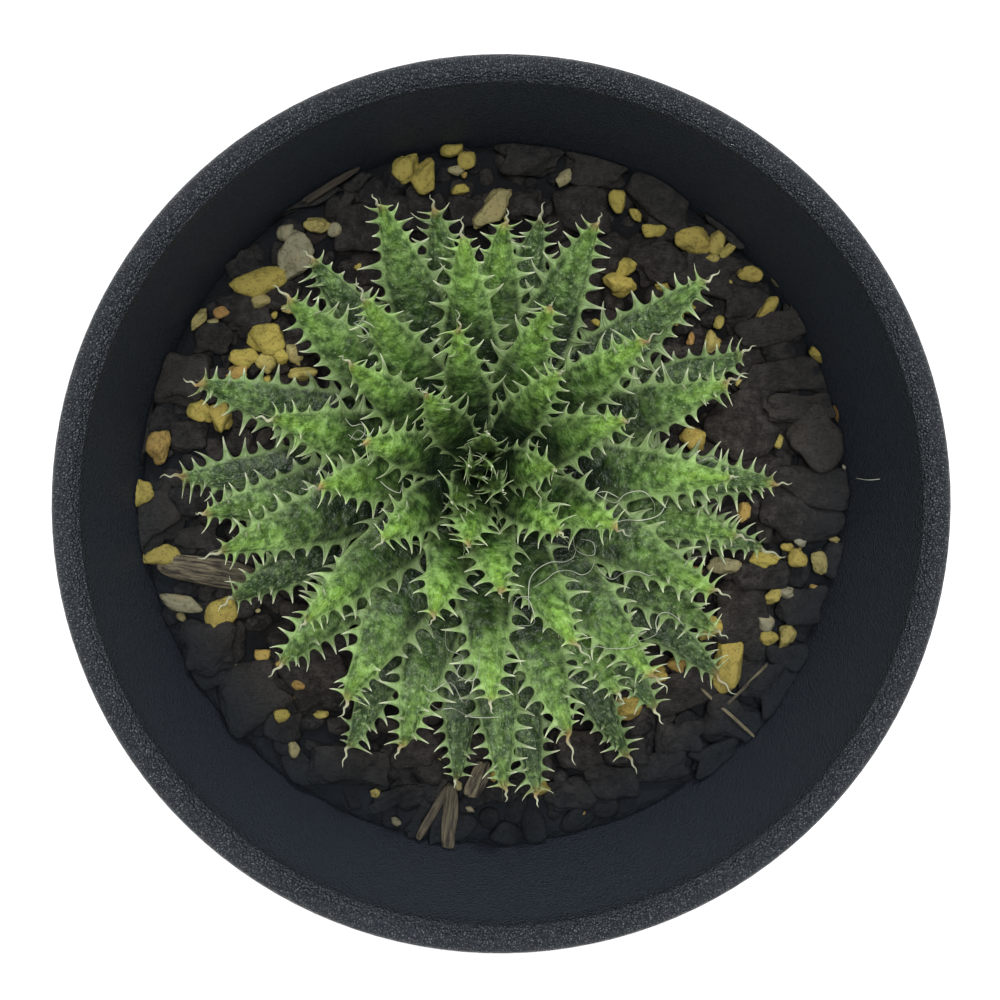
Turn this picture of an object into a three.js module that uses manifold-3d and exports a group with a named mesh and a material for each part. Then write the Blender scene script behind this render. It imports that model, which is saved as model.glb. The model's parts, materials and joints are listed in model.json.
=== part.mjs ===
// A potted haworthia maraisii: one crowded rosette of keeled, toothed leaves in a round plastic nursery pot.
// Millimetres, +Z up. The origin is the middle of the pot's foot, on the surface that the pot stands on.
import * as THREE from "three";
import { mergeVertices } from "three/addons/utils/BufferGeometryUtils.js";
import Module from "manifold-3d";

const wasm = await Module();
wasm.setup();

// Clearance between pieces that touch
const GAP = 0.3;

// Pot
const POT_HEIGHT = 75;
const RIM_RADIUS = 42.5;
const RIM_DROP = 4.5;
const FOOT_RADIUS = 30;
const FOOT_WIDTH = 3;
const FOOT_STEP = 1.5;
const SHOULDER_RADIUS = 41.3;
const WALL = 2;
const FLOOR_TOP = 4;
const POT_SIDES = 48;
const DRAIN_RADIUS = 3.2;
const DRAIN_CIRCLE = 19;
const DRAINS = 6;
const DRAIN_SIDES = 12;

// The rolled rim's section from outside to inside, measured from the rim's radius and the pot's height
const RIM_PROFILE = [[-0.2, -4.1], [0, -1.2], [-0.6, -0.2], [-1.4, 0], [-2.4, -0.5], [-2.7, -1.6]];

// Potting mix: the level between the chips, and the highest that anything in it stands
const MIX_LEVEL = 53.4;
const MIX_CEILING = 58;
const BARK_CHIPS = 46;
const BARE_REACH = 17;
const OPEN_REACH = 25;
const CHIP_LENGTH = 8.6;
const CHIP_WIDTH = 6;
const CHIP_HEIGHT = 2.8;
const CHIP_SIDES = 5;
const CHIP_TILT = 14;
const CHIP_LIFT = [0.2, 1.3];
const COVERED_CHIP_TILT = 6;
const COVERED_CHIP_LIFT = [-0.6, 0];
const EDGE_ROOM = 1.5;
const MIX_SEED = 11;
const PEBBLE_HEIGHT = 2.8;
const PEBBLE_LIFT = [0.8, 1.1];

// The larger pumice pebbles among the bark: place of each on the mix, and its size
const PEBBLES = [
  [-24.5, 22, 3.4], [-23.5, 16.5, 2.4], [-26, 14.5, 2], [-30.5, 9, 1.9], [-28.5, 8.5, 1.9], [-34, 5, 2.2],
  [-28, -11.5, 2.8], [-9.5, 33.5, 2], [-6.5, 32.5, 2.4], [-3, 33.5, 1.8], [13, 30.5, 1.8], [20.5, 26, 3],
  [23.5, 26, 1.8], [26, 23, 2], [33, 14.5, 1.9], [13, 22, 2.8], [20.5, 6.5, 2], [29, 6.5, 1.8],
  [26, -1.5, 1.8], [28, -6, 2.4], [31.5, -6.5, 2], [28.5, -15, 1.8], [24, -17, 3.2], [13.5, -22, 2.4],
  [-20.5, 25, 3.6], [-32, -11, 2.4],
];

// Stem and roots
const STEM_X = -2;
const STEM_Y = 3.5;
const STEM_PROFILE = [[0, 42], [2, 42.8], [3.2, 46], [3.7, 52], [3.6, 57], [2.6, 62], [1.2, 65.2], [0, 65.8]];
const ROOTS = 6;
const ROOT_LENGTH = 27;
const ROOT_THICK = 1.5;
const ROOT_THIN = 0.6;
const ROOT_DIP = 62;
const ROOT_TOP = 46;
const ROOT_SPREAD = 12;
const ROOT_TURN = 20;
const ROOT_SIDES = 7;
const ROOT_SEED = 7;
const STEM_SIDES = 10;

// Leaves, top layer first: the direction of the tip in degrees from +X, and its reach from the stem's axis
const LEAVES = [
  [2, 6.5], [128, 9], [256, 7], [53, 11.5], [166, 11.5], [320, 9], [101, 13.5], [213, 11.5],
  [20, 14], [142, 16], [278, 11.5], [68, 16.5], [337, 13.5], [185, 15.5], [250, 14.5], [297, 18.5],
  [125, 19.5], [39, 19.5], [95, 22], [220, 22], [358, 23.5], [166, 20.5], [272, 22], [309, 25.5],
  [332, 25], [239, 25.5], [197, 26], [85, 23.5], [288, 27], [139, 24.5], [19, 25], [111, 27],
  [345, 25.5], [254, 28], [301, 25.5], [65, 26], [224, 27], [189, 27], [325, 28], [274, 31.5],
  [40, 28.5], [163, 28.5], [357, 29], [100, 25.5], [306, 29.5], [129, 26], [245, 30.5], [280, 33],
  [208, 27.5], [76, 25], [23, 28.5], [344, 29.5], [182, 29.5], [319, 32], [266, 31.5], [297, 33],
];

// How many of them are bright green. Those below are dull and bluish.
const HIGH_LEAVES = 36;

// The heart: the youngest leaves, which carry the spiral inwards from the first leaf
const HEART_LEAVES = 4;
const HEART_REACH = 5.2;
const HEART_STEP = 0.9;
const HEART_SHRINK = 0.12;
const SPIRAL_STEP = 137.508;

// Seats on the stem and heights of the tips, from the top layer to the bottom one
const SEAT_HIGH = 65.2;
const SEAT_LOW = 56.3;
const SEAT_SINK = 0.8;
const SEAT_REACH_HIGH = 1.5;
const SEAT_REACH_LOW = 3.3;
const TIP_HIGH = 74.8;
const TIP_LOW = 60.2;
const TIP_FALL = 1.6;
const KNEE_OUT = 0.62;
const KNEE_UP = 0.34;

// One leaf. Its shape is given at even steps from the seat to the tip, as shares of the fullest leaf's.
const WIDTH_STEPS = [0.36, 0.7, 1, 0.94, 0.73, 0.43, 0.12];
const SWELL_STEPS = [0.35, 0.35, 0.45, 0.65, 0.8, 0.65, 0.35];
const KEEL_STEPS = [0.5, 0.85, 1.45, 1.75, 1.6, 1.05, 0.4];
const INNER_HALF_WIDTH = 2.1;
const OUTER_HALF_WIDTH = 3.2;
const INNER_THICKNESS = 0.75;
const FULL_GROWN = 0.4;
const EDGE_HALF_THICKNESS = 0.32;
const RING_CROWDING = 1.15;
const TOOTH_SPACING = 2.65;
const FEWEST_BANDS = 6;
const MOST_BANDS = 9;
const TOOTH_LENGTH = 1.5;
const TOOTH_VARIATION = 0.25;
const TOOTH_SLANT = 0.45;
const TOOTH_SPREAD = 0.35;
const TOOTHED_FROM = 0.3;
const KEEL_TOOTH = 0.4;
const AWN_LENGTH = 2.2;
const MOST_TWIST = 12;
const LEAF_SEED = 100;
const HEART_SEED = 500;

// Colours and finishes
const FINISHES = {
  pot: new THREE.MeshStandardMaterial({ color: 0x2a3036, roughness: 0.55, metalness: 0 }),
  mix: new THREE.MeshStandardMaterial({ color: 0x363432, roughness: 0.95, metalness: 0 }),
  stem: new THREE.MeshStandardMaterial({ color: 0x9a8f66, roughness: 0.8, metalness: 0 }),
  leaf: new THREE.MeshStandardMaterial({ color: 0x4f7338, roughness: 0.5, metalness: 0 }),
  lowLeaf: new THREE.MeshStandardMaterial({ color: 0x3f5238, roughness: 0.6, metalness: 0 }),
};

// Seeded random numbers from 0 to 1, the same ones each time for a seed
function randomFrom(seed) {
  let state = seed;
  return () => {
    state = (state * 1664525 + 1013904223) % 4294967296;
    return state / 4294967296;
  };
}

const between = (low, high, share) => low + (high - low) * share;

// A value between the even steps of a list, for a share from 0 to 1
function atShare(steps, share) {
  const place = share * (steps.length - 1);
  const step = Math.min(Math.floor(place), steps.length - 2);
  return between(steps[step], steps[step + 1], place - step);
}

const degrees = THREE.MathUtils.degToRad;

// A closed geometry as a solid. A shape that was wound inside out is turned round.
function solidOf(geometry) {
  const bare = new THREE.BufferGeometry();
  bare.setAttribute("position", geometry.getAttribute("position"));
  bare.setIndex(geometry.getIndex());
  const merged = mergeVertices(bare, 1e-4);
  const source = merged.getIndex().array;
  const corners = [];
  for (let i = 0; i < source.length; i += 3) {
    const [a, b, c] = [source[i], source[i + 1], source[i + 2]];
    if (a !== b && b !== c && c !== a) corners.push(a, b, c);
  }
  const vertProperties = new Float32Array(merged.getAttribute("position").array);
  const make = (list) =>
    new wasm.Manifold(new wasm.Mesh({ numProp: 3, vertProperties, triVerts: new Uint32Array(list) }));
  const solid = make(corners);
  return solid.volume() < 0 ? make(corners.reverse()) : solid;
}

// A solid back as a geometry
function geometryOf(solid) {
  const { numProp, numVert, vertProperties, triVerts } = solid.getMesh();
  const positions = new Float32Array(numVert * 3);
  for (let i = 0; i < numVert; i++) {
    positions.set(vertProperties.subarray(i * numProp, i * numProp + 3), i * 3);
  }
  const geometry = new THREE.BufferGeometry();
  geometry.setAttribute("position", new THREE.BufferAttribute(positions, 3));
  geometry.setIndex(new THREE.BufferAttribute(new Uint32Array(triVerts), 1));
  geometry.computeVertexNormals();
  return geometry;
}

// The solid that a profile of [radius, height] points sweeps round the Z axis
function turned(profile, sides) {
  const points = profile.map(([radius, height]) => new THREE.Vector2(radius, height));
  return solidOf(new THREE.LatheGeometry(points, sides).rotateX(Math.PI / 2));
}

const joined = (solids) => solids.reduce((whole, solid) => whole.add(solid));

const largestBody = (solid) =>
  solid.decompose().reduce((best, body) => (body.volume() > best.volume() ? body : best));

// Radius of the pot's inner wall at a height
function innerRadius(height) {
  const share = (height - FOOT_STEP) / (POT_HEIGHT - RIM_DROP - FOOT_STEP);
  return between(FOOT_RADIUS, SHOULDER_RADIUS, share) - WALL;
}

// The pot: a tapered wall under a rolled rim, on a foot ring, with drain holes in the floor
function makePot() {
  const rimFoot = POT_HEIGHT - RIM_DROP;
  const wall = turned(
    [
      [0, FOOT_STEP],
      [FOOT_RADIUS - FOOT_WIDTH, FOOT_STEP],
      [FOOT_RADIUS - FOOT_WIDTH, 0],
      [FOOT_RADIUS, 0],
      [FOOT_RADIUS, FOOT_STEP],
      [SHOULDER_RADIUS, rimFoot],
      ...RIM_PROFILE.map(([out, up]) => [RIM_RADIUS + out, POT_HEIGHT + up]),
      [innerRadius(rimFoot), rimFoot],
      [innerRadius(FLOOR_TOP), FLOOR_TOP],
      [0, FLOOR_TOP],
    ],
    POT_SIDES,
  );
  const drains = [];
  for (let i = 0; i < DRAINS; i++) {
    const turn = (i / DRAINS) * 2 * Math.PI;
    const drain = new THREE.CylinderGeometry(DRAIN_RADIUS, DRAIN_RADIUS, 2 * FLOOR_TOP, DRAIN_SIDES);
    drain.rotateX(Math.PI / 2);
    drain.translate(DRAIN_CIRCLE * Math.cos(turn), DRAIN_CIRCLE * Math.sin(turn), 0);
    drains.push(solidOf(drain));
  }
  return wall.subtract(joined(drains));
}

// The stem's short column with its thick, straight, tapering roots. A grown copy is the hole round it.
function makeStem(grow) {
  const profile = STEM_PROFILE.map(([radius, height]) => [radius && radius + grow, height]);
  profile[0][1] -= grow;
  profile[profile.length - 1][1] += grow;
  const pieces = [turned(profile, STEM_SIDES)];
  const random = randomFrom(ROOT_SEED);
  const length = ROOT_LENGTH + grow;
  for (let i = 0; i < ROOTS; i++) {
    const root = new THREE.CylinderGeometry(ROOT_THICK + grow, ROOT_THIN + grow, length, ROOT_SIDES);
    root.translate(0, -length / 2, 0);
    root.rotateZ(degrees(90 - ROOT_DIP + ROOT_SPREAD * random()));
    root.rotateX(Math.PI / 2);
    root.rotateZ(degrees((360 / ROOTS) * i + ROOT_TURN * random()));
    root.translate(0, 0, ROOT_TOP);
    pieces.push(solidOf(root));
  }
  return joined(pieces).translate(STEM_X, STEM_Y, 0);
}

// A bark chip: a flat slab with five uneven sides, a little narrower underneath
function chipSolid(random, place, tilt) {
  const chip = new THREE.CylinderGeometry(0.5, 0.45, 1, CHIP_SIDES).rotateX(Math.PI / 2);
  const size = between(0.75, 1.15, random());
  chip.scale(size * CHIP_LENGTH, size * CHIP_WIDTH * between(0.8, 1.1, random()), size * CHIP_HEIGHT);
  chip.rotateX(degrees(tilt * between(-1, 1, random())));
  chip.rotateY(degrees(tilt * between(-1, 1, random())));
  chip.rotateZ(random() * Math.PI);
  return solidOf(chip.translate(...place));
}

// A pumice pebble: a rounded lump, a little longer than it is wide
function pebbleSolid(random, place, size) {
  const pebble = new THREE.IcosahedronGeometry(0.5, 0);
  pebble.scale(1.2 * size, 0.95 * size, PEBBLE_HEIGHT);
  pebble.rotateZ(random() * Math.PI);
  return solidOf(pebble.translate(...place));
}

// The potting mix: a block that fills the pot, with chips and pebbles sunk into its top, and the stem's hole
function makeMix() {
  const fill = (top) =>
    turned(
      [
        [0, FLOOR_TOP + GAP],
        [innerRadius(FLOOR_TOP + GAP) - GAP, FLOOR_TOP + GAP],
        [innerRadius(top) - GAP, top],
        [0, top],
      ],
      POT_SIDES,
    );
  const random = randomFrom(MIX_SEED);
  const pieces = [fill(MIX_LEVEL)];
  const edge = innerRadius(MIX_LEVEL) - EDGE_ROOM;
  for (let i = 0; i < BARK_CHIPS; i++) {
    const reach = Math.sqrt(between(BARE_REACH ** 2, edge ** 2, (i + 0.5) / BARK_CHIPS));
    const turn = degrees(i * SPIRAL_STEP);
    const open = reach > OPEN_REACH;
    const lift = open ? CHIP_LIFT : COVERED_CHIP_LIFT;
    const tilt = open ? CHIP_TILT : COVERED_CHIP_TILT;
    const height = MIX_LEVEL + between(...lift, random());
    const place = [reach * Math.cos(turn), reach * Math.sin(turn), height];
    pieces.push(chipSolid(random, place, tilt));
  }
  for (const [x, y, size] of PEBBLES) {
    pieces.push(pebbleSolid(random, [x, y, MIX_LEVEL + between(...PEBBLE_LIFT, random())], size));
  }
  return joined(pieces).intersect(fill(MIX_CEILING)).subtract(makeStem(GAP));
}

// Where a leaf sits and ends, and its size. The share runs from 0 at the top layer to 1 at the bottom one.
function leafPlan(direction, reach, share, seed) {
  const seatReach = between(SEAT_REACH_HIGH, SEAT_REACH_LOW, Math.sqrt(share)) - SEAT_SINK;
  const grown = Math.min(1, share / FULL_GROWN);
  return {
    direction: degrees(direction),
    seat: [seatReach, between(SEAT_HIGH, SEAT_LOW, share)],
    tip: [reach, between(TIP_HIGH, TIP_LOW, share ** TIP_FALL)],
    halfWidth: between(INNER_HALF_WIDTH, OUTER_HALF_WIDTH, grown),
    thickness: between(INNER_THICKNESS, 1, grown),
    seed,
  };
}

// The leaf's middle line: out from the seat, then up to the tip
function middleLine(plan) {
  const [seatOut, seatUp] = plan.seat;
  const [tipOut, tipUp] = plan.tip;
  const [east, north] = [Math.cos(plan.direction), Math.sin(plan.direction)];
  const place = (out, up) => new THREE.Vector3(STEM_X + out * east, STEM_Y + out * north, up);
  const knee = place(between(seatOut, tipOut, KNEE_OUT), between(seatUp, tipUp, KNEE_UP));
  return new THREE.QuadraticBezierCurve3(place(seatOut, seatUp), knee, place(tipOut, tipUp));
}

// One leaf as a loft of keeled sections, with teeth drawn out of its margins and keel, and an awn at its tip
function makeLeaf(plan, grow) {
  const random = randomFrom(plan.seed);
  const line = middleLine(plan);
  const twist = degrees(between(-MOST_TWIST, MOST_TWIST, random()));
  const fullness = plan.halfWidth / OUTER_HALF_WIDTH;
  const wanted = Math.round(line.getLength() / TOOTH_SPACING);
  const bands = Math.max(FEWEST_BANDS, Math.min(MOST_BANDS, wanted));
  const positions = [];
  const faces = [];
  const addVertex = (point) => positions.push(point.x, point.y, point.z) / 3 - 1;

  function addRing(share, keelTooth) {
    const along = line.getTangent(share);
    const side = new THREE.Vector3(-Math.sin(plan.direction), Math.cos(plan.direction), 0);
    side.applyAxisAngle(along, twist * share);
    const up = new THREE.Vector3().crossVectors(along, side);
    const width = plan.halfWidth * atShare(WIDTH_STEPS, share) + grow;
    const edge = EDGE_HALF_THICKNESS + grow;
    const swell = atShare(SWELL_STEPS, share) + grow;
    const keel = plan.thickness * atShare(KEEL_STEPS, share) + keelTooth + grow;
    const upper = [[-width, edge], [0, swell], [width, edge]];
    const lower = [[width, -edge], [0, -keel], [-width, -edge]];
    const corners = [...upper, ...lower].map(([across, rise]) =>
      addVertex(line.getPoint(share).addScaledVector(side, across).addScaledVector(up, rise)),
    );
    return { share, along, side, up, corners };
  }

  // Draws a four-sided tooth out of a face of the margin, pointing outward and towards the tip
  function addTooth(ring, loop, outward, length) {
    const point = new THREE.Vector3();
    for (const index of loop) {
      point.addScaledVector(new THREE.Vector3().fromArray(positions, 3 * index), 1 / loop.length);
    }
    point.addScaledVector(outward, length + grow).addScaledVector(ring.along, TOOTH_SLANT * length);
    const apex = addVertex(point);
    for (let j = 0; j < 4; j++) faces.push(loop[j], loop[(j + 1) % 4], apex);
  }

  const rings = [];
  for (let i = 0; i <= bands; i++) {
    const toothed = i > bands / 2 && i < bands && i % 2 === 0;
    rings.push(addRing(1 - (1 - i / bands) ** RING_CROWDING, toothed ? KEEL_TOOTH : 0));
  }

  const size = rings[0].corners.length;
  for (let i = 0; i < bands; i++) {
    const [near, far] = [rings[i], rings[i + 1]];
    for (let p = 0; p < size; p++) {
      const q = (p + 1) % size;
      const loop = [near.corners[p], near.corners[q], far.corners[q], far.corners[p]];
      const onMargin = p === 2 || p === 5;
      if (onMargin && near.share > TOOTHED_FROM) {
        const outward = near.side.clone().multiplyScalar(p === 2 ? 1 : -1);
        outward.addScaledVector(near.up, between(-TOOTH_SPREAD, TOOTH_SPREAD, random()));
        const share = between(1 - TOOTH_VARIATION, 1 + TOOTH_VARIATION, random());
        addTooth(near, loop, outward, TOOTH_LENGTH * fullness * share);
      } else {
        faces.push(loop[0], loop[1], loop[2], loop[0], loop[2], loop[3]);
      }
    }
  }

  const base = rings[0].corners;
  for (let j = 1; j + 1 < size; j++) faces.push(base[0], base[j + 1], base[j]);
  const last = rings[bands];
  const awn = addVertex(line.getPoint(1).addScaledVector(last.along, AWN_LENGTH * fullness + grow));
  for (let p = 0; p < size; p++) faces.push(last.corners[p], last.corners[(p + 1) % size], awn);

  const geometry = new THREE.BufferGeometry();
  geometry.setAttribute("position", new THREE.BufferAttribute(new Float32Array(positions), 3));
  geometry.setIndex(faces);
  return solidOf(geometry);
}

// The heart's leaves, shorter and narrower towards the middle
function heartPlans() {
  const plans = [];
  for (let i = 1; i <= HEART_LEAVES; i++) {
    const direction = LEAVES[0][0] - i * SPIRAL_STEP;
    const plan = leafPlan(direction, HEART_REACH - HEART_STEP * i, 0, HEART_SEED + i);
    plan.tip[1] -= HEART_STEP * i;
    plan.halfWidth *= 1 - HEART_SHRINK * i;
    plan.thickness *= 1 - HEART_SHRINK * i;
    plans.push(plan);
  }
  return plans;
}

const touches = (a, b) => [0, 1, 2].every((k) => a.min[k] < b.max[k] && b.min[k] < a.max[k]);

// Every leaf in turn from the top, each pressed flat where it lies against those already in place
function makeRosette() {
  const hearts = heartPlans();
  const stemRoom = makeStem(GAP);
  const heart = largestBody(joined(hearts.map((plan) => makeLeaf(plan, 0))).subtract(stemRoom));
  const placed = hearts.map((plan) => makeLeaf(plan, GAP));
  const leaves = LEAVES.map(([direction, reach], i) => {
    const plan = leafPlan(direction, reach, i / (LEAVES.length - 1), LEAF_SEED + i);
    let leaf = makeLeaf(plan, 0).subtract(stemRoom);
    const box = leaf.boundingBox();
    const near = placed.filter((other) => touches(box, other.boundingBox()));
    if (near.length) leaf = leaf.subtract(joined(near));
    placed.push(makeLeaf(plan, GAP));
    return largestBody(leaf);
  });
  return { heart, leaves };
}

const plant = new THREE.Group();

function addPiece(name, solid, finish) {
  const mesh = new THREE.Mesh(geometryOf(solid), finish.clone());
  mesh.name = name;
  plant.add(mesh);
}

addPiece("pot", makePot(), FINISHES.pot);
addPiece("potting_mix", makeMix(), FINISHES.mix);
addPiece("stem_and_roots", makeStem(0), FINISHES.stem);
const rosette = makeRosette();
addPiece("heart_leaves", rosette.heart, FINISHES.leaf);
rosette.leaves.forEach((leaf, i) => {
  const name = "leaf_" + String(i + 1).padStart(2, "0");
  addPiece(name, leaf, i < HIGH_LEAVES ? FINISHES.leaf : FINISHES.lowLeaf);
});

export default plant;
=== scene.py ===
"""Models a potted haworthia: a crowded rosette of keeled, toothed leaves in a round plastic nursery pot."""

import json
import math
import random

import bmesh
import bpy
from bpy.props import FloatProperty, FloatVectorProperty, IntProperty, PointerProperty
from bpy.types import Operator, Panel, PropertyGroup
from mathutils import Matrix, Vector, noise
from mathutils.bvhtree import BVHTree

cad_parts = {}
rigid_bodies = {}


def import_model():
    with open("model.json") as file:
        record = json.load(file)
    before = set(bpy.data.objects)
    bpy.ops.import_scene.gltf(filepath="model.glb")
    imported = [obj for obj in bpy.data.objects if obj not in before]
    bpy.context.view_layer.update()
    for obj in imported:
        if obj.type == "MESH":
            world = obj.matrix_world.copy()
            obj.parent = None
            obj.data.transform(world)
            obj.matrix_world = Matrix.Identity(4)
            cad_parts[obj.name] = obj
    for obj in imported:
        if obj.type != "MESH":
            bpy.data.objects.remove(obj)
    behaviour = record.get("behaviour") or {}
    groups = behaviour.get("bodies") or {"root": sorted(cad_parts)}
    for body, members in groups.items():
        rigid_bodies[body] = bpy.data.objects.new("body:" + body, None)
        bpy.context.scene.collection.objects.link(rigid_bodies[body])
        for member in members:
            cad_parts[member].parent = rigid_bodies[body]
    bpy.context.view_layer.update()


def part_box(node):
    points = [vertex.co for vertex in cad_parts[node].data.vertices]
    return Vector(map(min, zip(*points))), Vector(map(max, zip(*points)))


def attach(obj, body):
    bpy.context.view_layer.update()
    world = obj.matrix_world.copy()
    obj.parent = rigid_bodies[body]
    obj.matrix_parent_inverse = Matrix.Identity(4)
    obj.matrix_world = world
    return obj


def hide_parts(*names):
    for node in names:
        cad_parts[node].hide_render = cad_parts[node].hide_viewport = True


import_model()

bl_info = {
    "name": "Potted Haworthia",
    "version": (1, 0, 0),
    "blender": (4, 5, 0),
    "location": "3D View > Sidebar > Haworthia",
    "description": "Models a toothed rosette succulent and its nursery pot around the packed solids",
    "category": "Add Mesh",
}

# Shapes are worked out in millimetres and scaled to metres when a piece is finished.
MM = 0.001
BODY = "root"
_, POT_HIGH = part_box("pot")

# Pot. The profiles are pairs of radius and height. The floor's corner and the rim are counted from their own corners.
FOOT_RADIUS = 30
FOOT_STEP = 1.5
FOOT_PROFILE = [(0, FOOT_STEP), (26.7, FOOT_STEP), (27, 1.2), (27, 0.3), (27.3, 0), (29.7, 0), (FOOT_RADIUS, 0.3)]
FLOOR_TOP = 4
FLOOR_RADIUS = 24
FLOOR_CORNER = [(-0.15, 0.4), (-1, 0)]
SHOULDER_RADIUS = 41.3
SHOULDER_FILLET = 0.15
WALL = 2
WALL_FOOT = 1.2
WALL_STEPS = 8
POT_SIDES = 128
RIM_DROP = 4.5
RIM_PROFILE = [
    (-0.95, -4.45), (-0.45, -4.35), (-0.2, -4.1), (-0.05, -3.6), (0, -2.8), (0, -1.1), (-0.05, -0.62),
    (-0.17, -0.3), (-0.36, -0.1), (-0.65, -0.01), (-1.05, -0.01), (-1.45, -0.09), (-1.85, -0.26), (-2.2, -0.54),
    (-2.42, -0.84), (-2.55, -0.88), (-2.62, -1.12), (-2.76, -1.5), (-2.9, -2.05), (-3.03, -2.9), (-3.13, -3.8),
]
DRAINS = 6
DRAIN_RADIUS = 3.2
DRAIN_CIRCLE = 19
DRAIN_DEPTH = 12
ROUND_SIDES = 32
# Corners nearer than this are merged after a cut.
CUT_MERGE = 0.002

# Stem and roots, and the room that the mix leaves for them. The roots' angles are drawn as in the solids.
STEM = Vector((-2, 3.5, 0))
STEM_PROFILE = [(0, 42), (2, 42.8), (3.2, 46), (3.7, 52), (3.6, 57), (2.6, 62), (1.2, 65.2), (0, 65.8)]
STEM_ROOM = [(0, 41), (2.3, 42.4), (3.5, 46), (4, 52), (4, 57), (0, 60)]
ROOTS = 6
ROOT_SIDES = 16
ROOT_TOP = 46
ROOT_LENGTH = 27
ROOT_THICK = 1.5
ROOT_THIN = 0.6
ROOT_DIP = 62
ROOT_ROOM = 0.3
ROOT_SEED = 7
DRAW_SPAN = 4294967296

# Mix: the soil's surface, and how the small chips and grains are spread over it
SOIL_GAP = 0.3
SOIL_SIDES = 96
SOIL_RINGS = 24
NEAR_STEM = 5.5
GRAINS = 70
GRAINS_NEAR = 18
GRAINS_TURN = 40
GRAIN_TONES = (0.1, 0.3, 0.5, 0.65, 0.9)
# A large chip is drawn a little over its size in the table. Its lumps have a depth and a width.
CHIP_OVERSIZE = 1.06
CHIP_HIGHEST = 2.8
CHIP_LUMPS = [(0.55, 1.6), (0.3, 0.8)]
BARK_SEED = 21
PEBBLE_SEED = 22
SLIVER_SEED = 23

# Pebbles: the flats that are broken off one, how sharp its edges are, and the length above which its mesh is finer
FLATS = 12
WORN_EDGE = 20
LARGE_PEBBLE = 2.4
PEBBLE_OVERSIZE = 1.1
PEBBLE_HIGHEST = 2.6

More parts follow.
